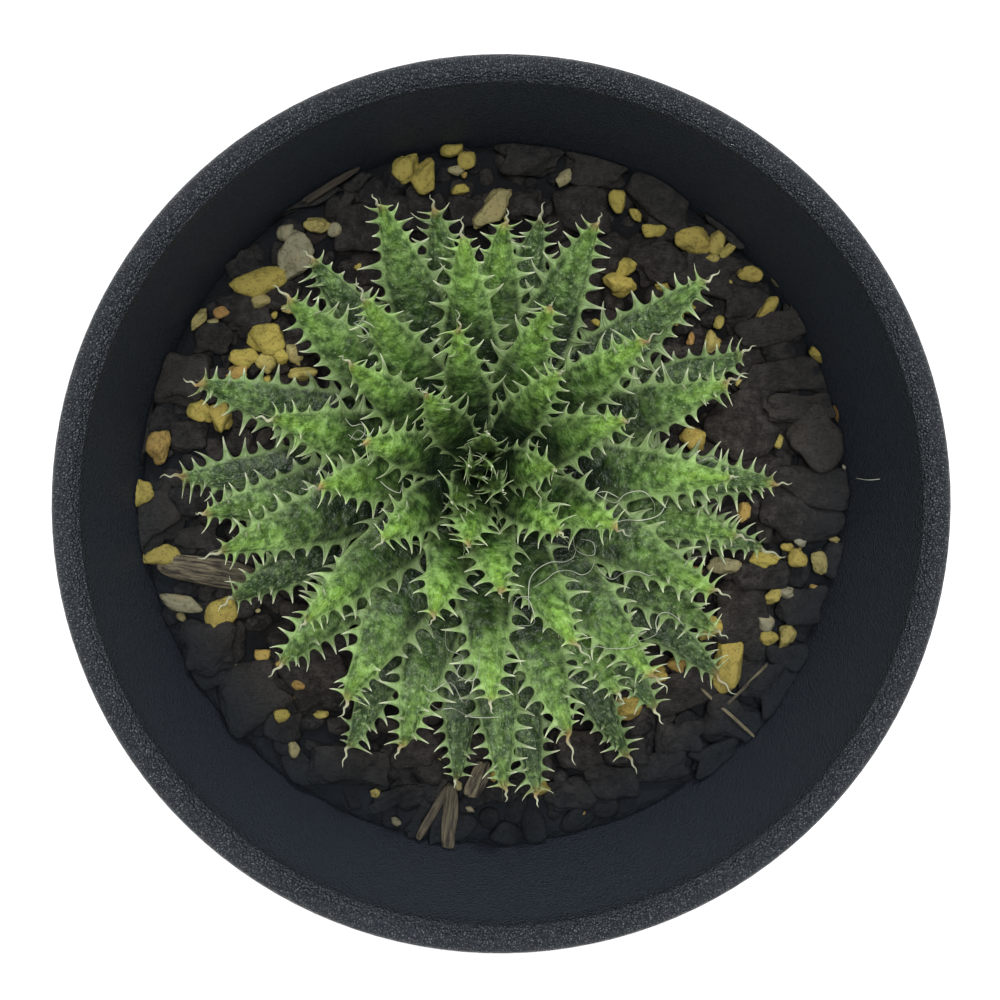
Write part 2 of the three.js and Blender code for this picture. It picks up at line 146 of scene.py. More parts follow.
# Bark chips that show: place, length, width, turn in degrees and how light each is
BARK_CHIPS = [
    (-32.7, 12.6, 5.6, 5, 0, 0.6), (-13.9, 27.8, 5.3, 4.4, 10, 0.35), (-26.1, 24, 3.2, 2.6, 20, 0.3),
    (-9.2, 29.3, 4.7, 3.5, 0, 0.25), (-25.2, 19, 4.4, 3.2, 0, 0.35), (-29, 16.4, 3.2, 2.6, 0, 0.3),
    (-31.4, 6.5, 3.2, 2.6, 0, 0.4), (-36.5, 7.4, 6.5, 1.8, 85, 0.5), (-15.6, 30.1, 2.9, 1, 60, 0.65),
    (-20, 30.7, 7.4, 1.5, 20, 0.35), (-2.8, 29.3, 3.2, 2.6, 0, 0.3), (-14.2, 32.4, 2.6, 1.1, 30, 0.4),
    (-22.3, 21.4, 3.5, 2.6, 40, 0.3), (-20, 16.4, 3.5, 2.9, 0, 0.25), (-28.8, 11.5, 3.8, 2.9, 0, 0.3),
    (-12.4, 23.7, 3.8, 3.2, 0, 0.3), (10.4, 34, 5.6, 3.2, -5, 0.5), (3.7, 35.1, 5.9, 2.9, 5, 0.4),
    (16.9, 31.1, 6, 4.1, -35, 0.4), (11.6, 25.3, 3.8, 3.5, 0, 0.3), (16.8, 24.7, 4.4, 4.1, 20, 0.35),
    (9, 29.9, 5, 3.8, 0, 0.35), (3.1, 30.2, 3.2, 2.6, 0, 0.3), (22, 23.3, 6.5, 4.1, -20, 0.45),
    (25.9, 20.3, 4.4, 3.2, 0, 0.35), (28.8, 17.7, 7.1, 2.9, 15, 0.5), (30.4, 12.7, 9.4, 3.2, 0, 0.4),
    (31.9, 9.4, 7.1, 2.4, 5, 0.55), (33.4, 6.2, 5.6, 4.4, -45, 0.85), (25.6, 7.4, 5.9, 5.6, 30, 0.3),
    (33.1, 1.1, 7.4, 3.5, -5, 0.4), (27.1, 3.2, 5.9, 2.4, 0, 0.4), (19.3, 14.4, 3.8, 2.9, 0, 0.25),
    (24, 28.2, 5, 2.1, -40, 0.4), (32.4, 19.2, 3.5, 2.6, 0, 0.5), (18.1, 28.2, 3.5, 2.4, 10, 0.3),
    (23.5, 15, 3.5, 2.1, -20, 0.4), (-35.2, -2.1, 6.2, 4.1, 40, 0.65), (-30.6, -3.9, 3.5, 2.1, 10, 0.45),
    (-30.6, -0.1, 4.4, 2.6, 0, 0.25), (-29.2, -15.3, 5, 4.7, 0, 0.5), (-24.9, -20.1, 6.2, 5.3, 30, 0.5),
    (-18.4, -18.4, 6.8, 6.2, 20, 0.3), (-15.8, -14.8, 3.5, 2.9, 0, 0.35), (-14.9, -27.9, 7.7, 3.5, -5, 0.4),
    (-8.1, -25.9, 4.4, 3.8, 0, 0.35), (-5.5, -33, 6.8, 1.8, 80, 0.55), (-7.6, -32.7, 5, 1.1, 60, 0.5),
    (-9.9, -30.9, 5.3, 1.5, 20, 0.35), (-20.2, -27.8, 3.8, 2.1, -30, 0.35), (-26.6, -10.3, 4.4, 2.9, 0, 0.3),
    (-22, -23.4, 3.5, 2.6, 0, 0.4), (19.5, -20.1, 5.9, 3.2, 25, 0.35), (25.5, -23.5, 5.6, 4.4, -20, 0.55),
    (30.3, -20.2, 5.3, 2.9, 30, 0.4), (28.2, -18.7, 4.4, 3.2, 0, 0.35), (26, -12.4, 5, 4.7, 0, 0.35),
    (32, -11.5, 3.8, 3.5, 0, 0.4), (32.6, -2, 7.7, 4.7, 0, 0.3), (27.8, -8.2, 5.3, 2.6, 0, 0.3),
    (19.5, -24.9, 4.4, 3.2, 0, 0.3), (17.1, -28.2, 5.9, 2.4, 10, 0.3), (11.8, -29.6, 5, 2.9, 0, 0.3),
    (8.8, -26.3, 4.4, 3.8, 0, 0.35), (7.9, -31.4, 4.7, 2.6, 0, 0.25), (30.6, -16.6, 3.8, 2.4, 0, 0.35),
    (35.6, -6.5, 3.5, 2.6, 80, 0.3), (13.8, -26.4, 3.8, 2.6, 0, 0.25), (23.1, -27.3, 4.7, 2.6, 20, 0.3),
]

# Pebbles: place, length, width, turn in degrees and tone, from 0 for grey through yellow to 1 for tan
PEBBLES = [
    (-24.2, 22.2, 4.7, 2.5, 10, 0.7), (-23.8, 20.3, 2.2, 1.6, 0, 0.35), (-30.4, 18.3, 2.6, 1.3, 55, 0.4),
    (-28, 19, 1.5, 1.4, 0, 1), (-23.2, 16.4, 3.8, 2.8, 0, 0.7), (-25.8, 14.4, 2.6, 1.8, 0, 0.65),
    (-23.6, 14, 2.1, 1.8, 80, 0.5), (-22.2, 14.7, 1.8, 1.7, 0, 0.6), (-26.5, 12.9, 2.5, 1.8, 30, 0.9),
    (-30, 9, 2.5, 2.4, 0, 0.7), (-28.2, 8.3, 3.5, 2.1, -70, 0.75), (-34.4, 5.4, 3.4, 2.1, 80, 0.9),
    (-36.5, 0.6, 2.6, 2.4, 0, 0.7), (-9.2, 33.6, 2.9, 2.5, 60, 0.6), (-7.2, 33, 3.1, 2.4, 80, 0.65),
    (-4.5, 35.6, 2.2, 1.5, 20, 0.6), (-2.9, 34.6, 1.9, 1.6, 0, 0.65), (-3.5, 31.7, 1.8, 1.2, 0, 0.6),
    (-4.1, 33.6, 1.5, 0.9, 0, 0.2), (-18.2, 28, 2.7, 1.5, 0, 0.45), (-16.5, 27.6, 1.5, 1.4, 0, 0.1),
    (-20.6, 14.7, 2.4, 1.3, -70, 0.35), (-21.2, 19.6, 1.8, 1.2, 0, 0.4), (-20, 12.9, 2.9, 1.4, 0, 0.5),
    (12.6, 30.6, 2.2, 1.8, -60, 0.7), (14.5, 29.2, 1.6, 0.9, -40, 0.7), (16.3, 27.6, 2.1, 1.7, 0, 0.7),
    (20.4, 26.6, 3.8, 2.5, -15, 0.75), (22.9, 26.4, 2.1, 1.6, 80, 0.55), (24.1, 25.6, 2.2, 1.2, 40, 0.55),
    (22.3, 24.8, 1.5, 0.9, 0, 0.5), (26.2, 23.2, 2.7, 1.8, 0, 0.75), (29.5, 22.8, 1.2, 1.1, 0, 0.15),
    (28.1, 19.7, 2.5, 1.5, 50, 0.75), (25.3, 19.3, 0.9, 0.8, 0, 0), (22.4, 16.2, 2.6, 1.4, 85, 0.5),
    (23.1, 18.2, 1.6, 0.9, 80, 0.55), (18.8, 19.1, 2.7, 1.6, 85, 0.6), (20.1, 19.6, 1.3, 0.9, 0, 0.6),
    (13.3, 23.8, 2.4, 1.8, 20, 0.65), (12.8, 22, 3.3, 2.4, 0, 0.75), (17.3, 21.9, 1.5, 1, 0, 0.6),
    (33.7, 15, 2.3, 1.8, -40, 0.65), (36.1, 8.8, 1.8, 0.9, 80, 1), (29, 6.3, 2.2, 1.6, -50, 0.55),
    (20.6, 6.3, 2.6, 2.4, 0, 0.8), (7, 32.9, 1.8, 1.3, 60, 0.2), (2.2, 34, 0.9, 0.7, 0, 0.7),
    (5.4, 22.3, 1.7, 0.9, 0, 0.6), (20.2, 16.4, 1.2, 0.8, 80, 1), (36.5, 3.1, 0.9, 0.8, 0, 0),
    (37.1, -0.1, 1.8, 0.9, 85, 0.4), (20.8, 13.7, 0.8, 0.7, 0, 0.7), (25.4, 11.8, 1, 0.9, 0, 0.5),
    (-34.2, -5.9, 3.1, 2.2, 0, 0.7), (-34, -2.5, 1.1, 0.6, 0, 0.7), (-28.2, -11.8, 3.8, 2.7, 80, 0.75),
    (-31.8, -10.9, 4.3, 1.7, -20, 0.1), (-24, -16, 1.5, 1.3, 0, 0.85), (-21.9, -16.8, 1.6, 1.5, 0, 0.9),
    (-20.2, -19.2, 1.4, 1.1, 0, 0.95), (-22.1, -22.4, 1.6, 1.4, 0, 0.6), (-18, -22.3, 1.6, 0.9, 0, 0.55),
    (-20.9, -25.8, 1.8, 1.1, 85, 0.25), (-12.4, -30.5, 1.1, 0.9, 0, 0.5), (-3.9, -29.8, 1, 0.9, 0, 0.3),
    (0, -28.8, 1.5, 0.9, 70, 0.6), (24.2, -17.1, 5.4, 2.9, 80, 0.75), (22.5, -13.5, 2.8, 2.3, 60, 0.75),
    (28, -6.4, 2.7, 1.7, 0, 0.7), (31.4, -6.4, 2.2, 1.8, 0, 0.75), (30.4, -5.2, 1.3, 0.9, 0, 0.75),
    (32, -4.5, 1.4, 1.1, 0, 0), (33.7, -6.7, 2.5, 1.7, -50, 0.4), (35.5, -4.4, 1.1, 0.6, 0, 0.4),
    (28.9, -10.3, 1.9, 1.4, 20, 0.55), (30.4, -9.8, 1.9, 1.2, 0, 0.05), (28.3, -13, 2.1, 1.6, -30, 0.05),
    (28.4, -14.7, 1.8, 1.4, 0, 0.6), (30.3, -14.5, 2.5, 1.7, 80, 0.5), (33.7, -9.9, 2, 1.4, -50, 0.9),
    (13.5, -21.8, 2.8, 2.5, 0, 0.8), (16.7, -18.5, 2.5, 1.6, 20, 0.8), (18.8, -17.4, 2.2, 1.5, 0, 0.9),
    (23.7, -7, 3, 1.8, 0, 0.2), (20.9, -7.7, 1.2, 1, 0, 1), (16.4, -21.5, 1.4, 0.7, 20, 0.75),
    (4.7, -30.1, 1.9, 1.7, 0, 0.6), (26, -1.4, 2.3, 1.5, 85, 0.9), (-20.3, 24.9, 5, 3.3, 75, 0.08),
    (-21.4, 27.2, 2, 1.6, 30, 0.1), (-0.2, 29.9, 5.2, 2.6, 52, 0.3), (-36.4, -6.2, 1.5, 1, 0, 0.7),
]

# Slivers of wood and the twig: the two ends on the mix, width and how light each is
SLIVERS = [
    ((-34, -6.6), (-24.8, -8.2), 2.4, 0.75), ((-5, -36.2), (-4.6, -30), 1.5, 0.5), ((-8, -35), (-5, -30), 0.8, 0.45),
    ((-2.6, -30.8), (-1.2, -27.4), 1.7, 0.9), ((21.7, -20.1), (26.9, -24.8), 0.35, 0.8),
    ((24.2, -21.4), (28.4, -17.2), 0.3, 0.6), ((-19.6, 30.2), (-14.4, 33.6), 0.7, 0.2),
]

# Leaves from the top layer down: the direction of the tip in degrees and its reach from the stem's axis
LEAVES = [
    (2, 6.5), (128, 9), (256, 7), (53, 11.5), (166, 11.5), (320, 9), (101, 13.5), (213, 11.5),
    (20, 14), (142, 16), (278, 11.5), (68, 16.5), (337, 13.5), (185, 15.5), (250, 14.5), (297, 18.5),
    (125, 19.5), (39, 19.5), (95, 22), (220, 22), (358, 23.5), (166, 20.5), (272, 22), (309, 25.5),
    (332, 25), (239, 25.5), (197, 26), (85, 23.5), (288, 27), (139, 24.5), (19, 25), (111, 27),
    (345, 25.5), (254, 28), (301, 25.5), (65, 26), (224, 27), (189, 27), (325, 28), (274, 31.5),
    (40, 28.5), (163, 28.5), (357, 29), (100, 25.5), (306, 29.5), (129, 26), (245, 30.5), (280, 33),
    (208, 27.5), (76, 25), (23, 28.5), (344, 29.5), (182, 29.5), (319, 32), (266, 31.5), (297, 33),
]
HIGH_LEAVES = 36
HEART_LEAVES = 7
HEART_REACH = 5.2
HEART_STEP = 0.9
HEART_LEAST_REACH = 0.9
HEART_SHRINK = 0.12
SPIRAL_STEP = 137.508
SEAT_HIGH = 65.2
SEAT_LOW = 56.3
SEAT_SINK = 0.8
SEAT_REACH_HIGH = 1.5
SEAT_REACH_LOW = 3.3
TIP_HIGH = 74.8
TIP_LOW = 60.2
TIP_FALL = 1.6
KNEE_OUT = 0.62
KNEE_UP = 0.34
WIDTH_STEPS = [0.36, 0.7, 1, 0.94, 0.73, 0.43, 0.12]
SWELL_STEPS = [0.35, 0.35, 0.45, 0.65, 0.8, 0.65, 0.35]
KEEL_STEPS = [0.5, 0.85, 1.45, 1.75, 1.6, 1.05, 0.4]
INNER_HALF_WIDTH = 2.1
OUTER_HALF_WIDTH = 3.2
INNER_THICKNESS = 0.75
FULL_GROWN = 0.4
MOST_TWIST = 12
WIDTH_WAVE = 0.17
LUMPS = 0.2
LEAF_SEED = 100
HEART_SEED = 500

# A leaf's section: twelve points round it from the right margin over the upper face, as shares of the half width.
# The two faces at the margins are given with their side.
SECTION = [1, 0.66, 0.24, -0.24, -0.66, -1, -1, -0.6, -0.14, 0.14, 0.6, 1]
UPPER_POINTS = 6
MARGIN_FACES = [(11, 1), (5, -1)]
KEEL_FACE = 8
MARGIN_HALF_THICKNESS = 0.13

# Claws and awns. A claw's steps have a share of its length, a narrowing and how pale they are. Some claws also stand
# on the crown, in two columns that lean to their sides. The SMALL shares shrink them towards the smallest leaves.
LEAST_TEETH = 5
CLAW_SIZES = (0.55, 0.85, 1, 1.2)
KEEL_CLAWS_FROM = 0.45
CROWN_CLAWS_FROM = 0.78
CROWN_CHANCE = 0.55
CROWN_FACES = {1: 0.9, 3: -0.9}
GAP_SHARE = 0.36
MISSING_TEETH = 0.06
RING_CROWDING = 1.22
TOOTH_STEPS = [(0.26, 0.58, 0.12), (0.27, 0.55, 0.4), (0.27, 0.55, 0.8), (0.2, 0.4, 1)]
AWN_STEPS = 7
SMALL_SPACING = 0.62
SMALL_CLAWS = 0.8
SMALL_AWN = 0.75

# The attributes that colour a leaf: shares along it are kept below 1, and the heart lies above the top layer
SHARE_SPAN = 1.5
TOP_LAYER = 0.12

# Loose hairs, as bends in the picture's pixels. Each lies on what the camera sees under it.
HAIR_SEED = 31
HAIR_STEP = 3.5
HAIR_TIGHTNESS = 2
HAIR_CLEARANCE = 0.15
LEAST_HAIR = 4
CARRIERS = ("heart_bud", "bark_chips", "bark_crumbs", "pumice_pebbles", "soil", "pot_shell")
LOOSE_HAIRS = [
    [(573.6, 537.7), (575, 548.4), (583.6, 554.5), (594.3, 554.5), (592.8, 542.3), (580.5, 539.2)],
    [(529, 609.6), (528.5, 591), (530.8, 577.5), (539, 568), (551.4, 562), (563.7, 562), (573, 557.6), (576, 550)],
    [(533, 588), (545, 580.5), (556, 572), (570, 570.6), (582, 575), (591, 570), (595, 559)],
    [(595.7, 564), (601, 572), (609.7, 579), (616, 578), (621, 574), (631, 571), (641.6, 572.5), (649, 575.7),
     (654, 574)],
    [(597, 493), (606.5, 491.7), (619, 498)],
    [(513, 612.7), (514.7, 602), (521, 596.6), (531.5, 597.4)],
    [(380, 481), (389, 488.7), (400, 493), (401.4, 485.6)],
    [(639, 641), (649, 638), (657, 633), (655.7, 623), (659.5, 614), (668.4, 612.7), (677, 618), (683.7, 625.5)],
    [(580, 641), (585.5, 648.4), (592, 648.4), (597, 646), (607, 648.4), (617.4, 648.4), (629, 648), (638, 644.6)],
    [(685, 565.5), (689, 559), (698, 556.6), (706.7, 556)],
    [(354, 323), (361, 320.4), (368.4, 323), (374.7, 328)],
    [(354, 323), (364.5, 329), (368.4, 337), (359.4, 343)],
    [(445.7, 628.6), (447, 648.6), (463, 657), (457, 674), (474, 680), (480, 657)],
    [(423, 684), (431.4, 691.4), (445.7, 683), (454, 685.7), (464, 703), (471.4, 691.4), (474, 677)],
    [(425.7, 697), (437, 708.6), (454, 708.6), (471.4, 717), (500, 717)],
    [(595.7, 493), (614, 503), (625.7, 494), (643, 491.4), (654, 503), (654, 514)],
    [(614, 523), (625.7, 520), (643, 520), (660, 514), (668.6, 497)],
    [(514, 597), (528.6, 600), (534, 623), (517, 625.7)],
    [(697, 450), (700, 461.4), (711.4, 455.7), (720, 461.4)],
    [(345, 418), (352, 426), (362, 424), (365, 433), (357, 440), (348, 434)],
    [(350, 440), (358, 430), (368, 436), (374, 428)],
    [(855, 478), (868, 480), (880, 479)],
]

# The camera, from the rim's and the mix's circles in the photograph
CAMERA_PLACE = Vector((-11.6, 10.4, 275))
CAMERA_TARGET = Vector((-0.63, 0.8, 75))
FOCAL_PIXELS = 2135
PHOTO_WIDTH = 1000
SENSOR_WIDTH = 36
FLOOR_HALF = 3000
WHITE = (1, 1, 1)


def between(low, high, share):
    return low + (high - low) * share


def at_share(steps, share):
    """The value between the even steps of a list, for a share from 0 to 1."""
    place = share * (len(steps) - 1)
    step = min(int(place), len(steps) - 2)
    return between(steps[step], steps[step + 1], place - step)


def next_draw(state):
    """The next whole number below DRAW_SPAN, as the solids draw it."""
    return (state * 1664525 + 1013904223) % DRAW_SPAN


def inner_radius(height):
    """Radius of the pot's inner wall at a height, in millimetres."""
    share = (height - FOOT_STEP) / (POT_HIGH.z / MM - RIM_DROP - FOOT_STEP)
    return between(FOOT_RADIUS, SHOULDER_RADIUS, share) - WALL


def camera_axes():
    """The camera's right, up and forward directions."""
    forward = (CAMERA_TARGET - CAMERA_PLACE).normalized()
    right = forward.cross(Vector((0, 1, 0))).normalized()
    return right, right.cross(forward), forward


def scaled(colour, factor):
    return tuple(value * factor for value in colour)


class Nodes:
    """Adds shader nodes to a material or a world."""

    def __init__(self, holder):
        holder.use_nodes = True
        self.tree = holder.node_tree
        self.tree.nodes.clear()

    def add(self, kind, settings=None, values=(), **inputs):
        """Adds a node. Its inputs are given in order or by name, as a socket to link or a value to set."""
        node = self.tree.nodes.new("ShaderNode" + kind)
        for name, value in (settings or {}).items():
            setattr(node, name, value)
        for socket, value in zip(node.inputs, values):
            self.feed(socket, value)
        for name, value in inputs.items():
            self.feed(node.inputs[name.replace("_", " ")], value)
        return node

    def feed(self, socket, value):
        if isinstance(value, bpy.types.NodeSocket):
            self.tree.links.new(value, socket)
        elif socket.type == "RGBA":
            socket.default_value = (*value, 1.0)
        else:
            socket.default_value = value


class Finish(Nodes):
    """A procedural material under way. Most methods add nodes and return their output socket."""

    def __init__(self, name, **constants):
        self.material = bpy.data.materials.new(name)
        super().__init__(self.material)
        self.shader = self.add("BsdfPrincipled", **constants)
        self.add("OutputMaterial", Surface=self.shader.outputs["BSDF"])
        self.place = self.add("TexCoord").outputs["Object"]
        self.unit = MM

    def attribute(self, name, output):
        return self.add("Attribute", {"attribute_name": name}).outputs[output]

    def tone(self):
        return self.attribute("tone", "Fac")

    def follow(self, name):
        """Patterns follow an attribute that holds places on the surface, in millimetres."""
        self.place = self.attribute(name, "Vector")
        self.unit = 1

    def axes(self):
        """The sockets X, Y and Z of the place."""
        return self.add("SeparateXYZ", Vector=self.place).outputs

    def reach(self, axes):
        """Distance from the pot's axis, in metres."""
        squares = [self.maths("POWER", axes[name], 2.0) for name in "XY"]
        return self.maths("SQRT", self.maths("ADD", *squares))

    def grain(self, size, detail=3.0, rough=0.55, stretch=None, output="Fac"):
        """Noise from 0 to 1 whose lumps are about this size in millimetres."""
        vector = self.add("Mapping", Vector=self.place, Scale=stretch).outputs["Vector"] if stretch else self.place
        scale = 1 / (size * self.unit)
        return self.add("TexNoise", Vector=vector, Scale=scale, Detail=detail, Roughness=rough).outputs[output]

    def cells(self, size):
        """Distance within cells of about this size in millimetres."""
        return self.add("TexVoronoi", Vector=self.place, Scale=1 / (size * self.unit)).outputs["Distance"]

    def net(self, size, warp, stretch):
        """A wandering net: 1 on its threads and lower in its meshes of this size in millimetres, some of them deep."""
        sway = self.grain(0.8 * size, 2.0, 0.5, output="Color")
        push = self.add("VectorMath", {"operation": "SCALE"}, Vector=sway, Scale=warp * size * self.unit).outputs[0]
        moved = self.add("VectorMath", {"operation": "ADD"}, (self.place, push)).outputs[0]
        even = self.add("Mapping", Vector=moved, Scale=stretch).outputs["Vector"]
        edge, cell = (
            self.add("TexVoronoi", {"feature": feature}, Vector=even, Scale=1 / (size * self.unit)).outputs
            for feature in ("DISTANCE_TO_EDGE", "F1")
        )
        depth = self.share(self.add("SeparateColor", Color=cell["Color"]).outputs[0], 0.2, 0.8, 0.75, 0.1)
        return self.maths("MAXIMUM", self.share(edge["Distance"], 0.26, 0.05), depth)

    def share(self, value, low, high, start=0.0, end=1.0):
        """The value's place between low and high, from start to end."""
        node = self.add("MapRange", Value=value, From_Min=low, From_Max=high, To_Min=start, To_Max=end)
        return node.outputs["Result"]

    def maths(self, operation, first, second=0.0):
        return self.add("Math", {"operation": operation}, (first, second)).outputs["Value"]

    def times(self, first, *others):
        for other in others:
            first = self.maths("MULTIPLY", first, other)
        return first

    def blend(self, factor, first, second):
        """Mixes two colours."""
        node = self.add("Mix", {"data_type": "RGBA"}, Factor=factor)
        self.feed(node.inputs[6], first)
        self.feed(node.inputs[7], second)
        return node.outputs[2]

    def tint(self, colour, *coats):
        """Lays coats over a colour. Each has a value, its low and high, the coat's share at the high and its colour."""
        for value, low, high, most, coat in coats:
            colour = self.blend(self.share(value, low, high, 0.0, most), colour, coat)
        return colour

    def bump(self, height, depth, strength=1.0, **under):
        """Raises the surface by up to this depth in millimetres, over the Normal of another bump."""
        return self.add("Bump", Strength=strength, Distance=depth * MM, Height=height, **under).outputs["Normal"]

    def finish(self, colour, **others):
        """Colours the shader, feeds its other inputs and returns the material."""
        self.feed(self.shader.inputs["Base Color"], colour)
        for name, socket in others.items():
            self.feed(self.shader.inputs[name], socket)
        return self.material


def add_object(name, data):
    """Adds an object to the scene, with its mesh, light or camera under the same name."""
    data.name = name
    item = bpy.data.objects.new(name, data)
    bpy.context.scene.collection.objects.link(item)
    return item


def dress(name, mesh, material, slot, nodes=(), levels=0):
    """Turns a finished mesh in metres into a shown piece that rides on the plant's one body."""
    mesh.materials.append(material)
    piece = add_object(name, mesh)
    if levels:
        modifier = piece.modifiers.new("rounding", "SUBSURF")
        modifier.levels = modifier.render_levels = levels
    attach(piece, BODY)
    if nodes:
        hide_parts(*nodes)


def mesh_from(bm):
    """A bmesh in millimetres as a smooth mesh in metres."""
    bmesh.ops.scale(bm, vec=(MM, MM, MM), verts=bm.verts)
    for face in bm.faces:
        face.smooth = True
    mesh = bpy.data.meshes.new("shape")
    bm.to_mesh(mesh)
    bm.free()
    return mesh


def spun(profile, steps):
    """A bmesh of the closed surface that a profile of radius and height sweeps round the Z axis."""
    bm = bmesh.new()
    verts = [bm.verts.new((radius, 0, height)) for radius, height in profile]
    geom = verts + [bm.edges.new(pair) for pair in zip(verts, verts[1:])]
    bmesh.ops.spin(bm, geom=geom, cent=(0, 0, 0), axis=(0, 0, 1), angle=2 * math.pi, steps=steps, use_merge=True)
    bmesh.ops.remove_doubles(bm, verts=bm.verts, dist=1e-4)
    bmesh.ops.recalc_face_normals(bm, faces=bm.faces)
    return bm


def combine(mesh, tool_bm, operation):
    """The mesh cut or joined by a bmesh in millimetres, with a Boolean modifier that is then applied."""
    tool = add_object("tool", mesh_from(tool_bm))
    work = add_object("work", mesh)
    modifier = work.modifiers.new("shape", "BOOLEAN")
    modifier.operation = operation
    modifier.solver = "EXACT"
    modifier.use_self = True
    modifier.object = tool
    depsgraph = bpy.context.evaluated_depsgraph_get()
    result = bpy.data.meshes.new_from_object(work.evaluated_get(depsgraph))
    for item in (tool, work):
        bpy.data.meshes.remove(item.data)
    bm = bmesh.new()
    bm.from_mesh(result)
    bmesh.ops.remove_doubles(bm, verts=bm.verts, dist=CUT_MERGE * MM)
    bmesh.ops.dissolve_degenerate(bm, edges=bm.edges, dist=CUT_MERGE * MM)
    bmesh.ops.triangulate(bm, faces=bm.faces)
    bm.to_mesh(result)
    bm.free()
    return result


class Heap:
    """Gathers many small shapes in one bmesh, each with its own tone."""

    def __init__(self):
        self.bm = bmesh.new()
        self.scratch = bpy.data.meshes.new("scratch")

    def add(self, part, tone=None):
        if tone is not None:
            layer = part.verts.layers.float.new("tone")
            for vert in part.verts:
                vert[layer] = tone
        part.to_mesh(self.scratch)
        part.free()
        self.bm.from_mesh(self.scratch)

    def lay(self, part, size, tilt, turn, place, tone, lumps=(), draws=None):
        """Sizes a unit shape, tilts and turns it, sets it in its place in the pot and adds it."""
        bmesh.ops.scale(part, vec=size, verts=part.verts)
        spin = Matrix.Rotation(turn, 3, "Z") @ Matrix.Rotation(tilt[0], 3, "X") @ Matrix.Rotation(tilt[1], 3, "Y")
        bmesh.ops.rotate(part, cent=(0, 0, 0), matrix=spin, verts=part.verts)
        bmesh.ops.translate(part, vec=place, verts=part.verts)
        for depth, spread in lumps:
            roughen(part, depth, spread, draws)
        keep_in_pot(part)
        self.add(part, tone)

    def dress(self, name, *look, **others):
        """Turns the heap into one shown piece."""
        bpy.data.meshes.remove(self.scratch)
        dress(name, mesh_from(self.bm), *look, **others)


def keep_in_pot(part, room=0.25):
    """Draws in what would cross the pot's wall."""
    for vert in part.verts:
        limit = inner_radius(vert.co.z) - room
        reach = math.hypot(vert.co.x, vert.co.y)
        if reach > limit:
            vert.co.x *= limit / reach
            vert.co.y *= limit / reach


def some_tilt(draws, most):
    """Two small angles of up to this many degrees."""
    return [math.radians(draws.uniform(-most, most)) for _ in range(2)]


def some_place(draws):
    """A place in the noise that no other shape uses."""
    return Vector((draws.uniform(0, 90), draws.uniform(0, 90), draws.uniform(0, 90)))


def spread_out(count, near, far, start=0):
    """Places that fill a ring evenly, in a spiral that starts at an angle in degrees."""
    for i in range(count):
        reach = math.sqrt(between(near**2, far**2, (i + 0.5) / count))
        turn = math.radians(i * SPIRAL_STEP + start)
        yield reach * math.cos(turn), reach * math.sin(turn)


def chip_shape(draws, cuts=3, squareness=6.5, unevenness=0.34):
    """A bark chip one unit across: a cut-up cube drawn to a rounded block with an uneven outline."""
    part = bmesh.new()
    bmesh.ops.create_cube(part, size=2)
    bmesh.ops.subdivide_edges(part, edges=part.edges[:], cuts=cuts, use_grid_fill=True)
    offset = some_place(draws)
    for vert in part.verts:
        spread = sum(abs(value) ** squareness for value in vert.co) ** (1 / squareness)
        co = vert.co / spread
        swell = noise.noise(co * 0.9 + offset) + 0.5 * noise.noise(co * 2.2 + offset)
        vert.co = co * 0.5 * (1 + unevenness * 1.6 * swell)
    return part


def roughen(part, depth, size, draws):
    """Moves the surface in and out by up to this depth, in lumps of this size in millimetres."""
    offset = some_place(draws)
    part.normal_update()
    moves = [vert.normal * depth * noise.noise(vert.co / size + offset) for vert in part.verts]
    for vert, move in zip(part.verts, moves):
        vert.co += move


def pebble_shape(draws, subdivisions=3):
    """A pumice pebble one unit across: a ball with some flats broken off it, and worn."""
    part = bmesh.new()
    bmesh.ops.create_icosphere(part, subdivisions=subdivisions, radius=0.5)
    flats = []
    for _ in range(FLATS):
        normal = Vector((draws.gauss(0, 1), draws.gauss(0, 1), draws.gauss(0, 1))).normalized()
        flats.append((normal, draws.uniform(0.27, 0.44)))
    offset = some_place(draws)
    for vert in part.verts:
        direction = vert.co.normalized()
        near = [direction.dot(normal) / depth for normal, depth in flats if direction.dot(normal) > 0]
        reach = sum(value**WORN_EDGE for value in near + [2]) ** (-1 / WORN_EDGE)
        swell = 1 + 0.22 * noise.noise(direction * 1.3 + offset) + 0.07 * noise.noise(direction * 5 + offset)
        vert.co = direction * reach * swell * 1.14
    return part


def add_cone(bm, sides, low, high, depth, place=Matrix()):
    """Adds a capped cone or cylinder with these two radii about its middle's place."""
    bmesh.ops.create_cone(bm, cap_ends=True, segments=sides, radius1=low, radius2=high, depth=depth, matrix=place)


def add_tube(bm, sides, rings):
    """Adds a capped cylinder with even rings of corners. It is one unit high and still to be drawn out."""
    add_cone(bm, sides, 1, 1, 1)
    rails = [edge for edge in bm.edges if abs(edge.verts[0].co.z - edge.verts[1].co.z) > 0.5]
    bmesh.ops.subdivide_edges(bm, edges=rails, cuts=rings - 2)


def thread(points, radii, sides=5):
    """A bmesh of a round thread along points, with a radius at each."""
    bm = bmesh.new()
    add_tube(bm, sides, len(points))
    last = len(points) - 1
    frames = []
    side = Vector((0, 0, 1))
    for i in range(last + 1):
        along = (points[min(i + 1, last)] - points[max(i - 1, 0)]).normalized()
        side = (side - along * side.dot(along)).normalized()
        frames.append((side, along.cross(side)))
    for vert in bm.verts:
        i = round((vert.co.z + 0.5) * last)
        across, over = frames[i]
        vert.co = points[i] + (across * vert.co.x + over * vert.co.y) * radii[i]
    return bm


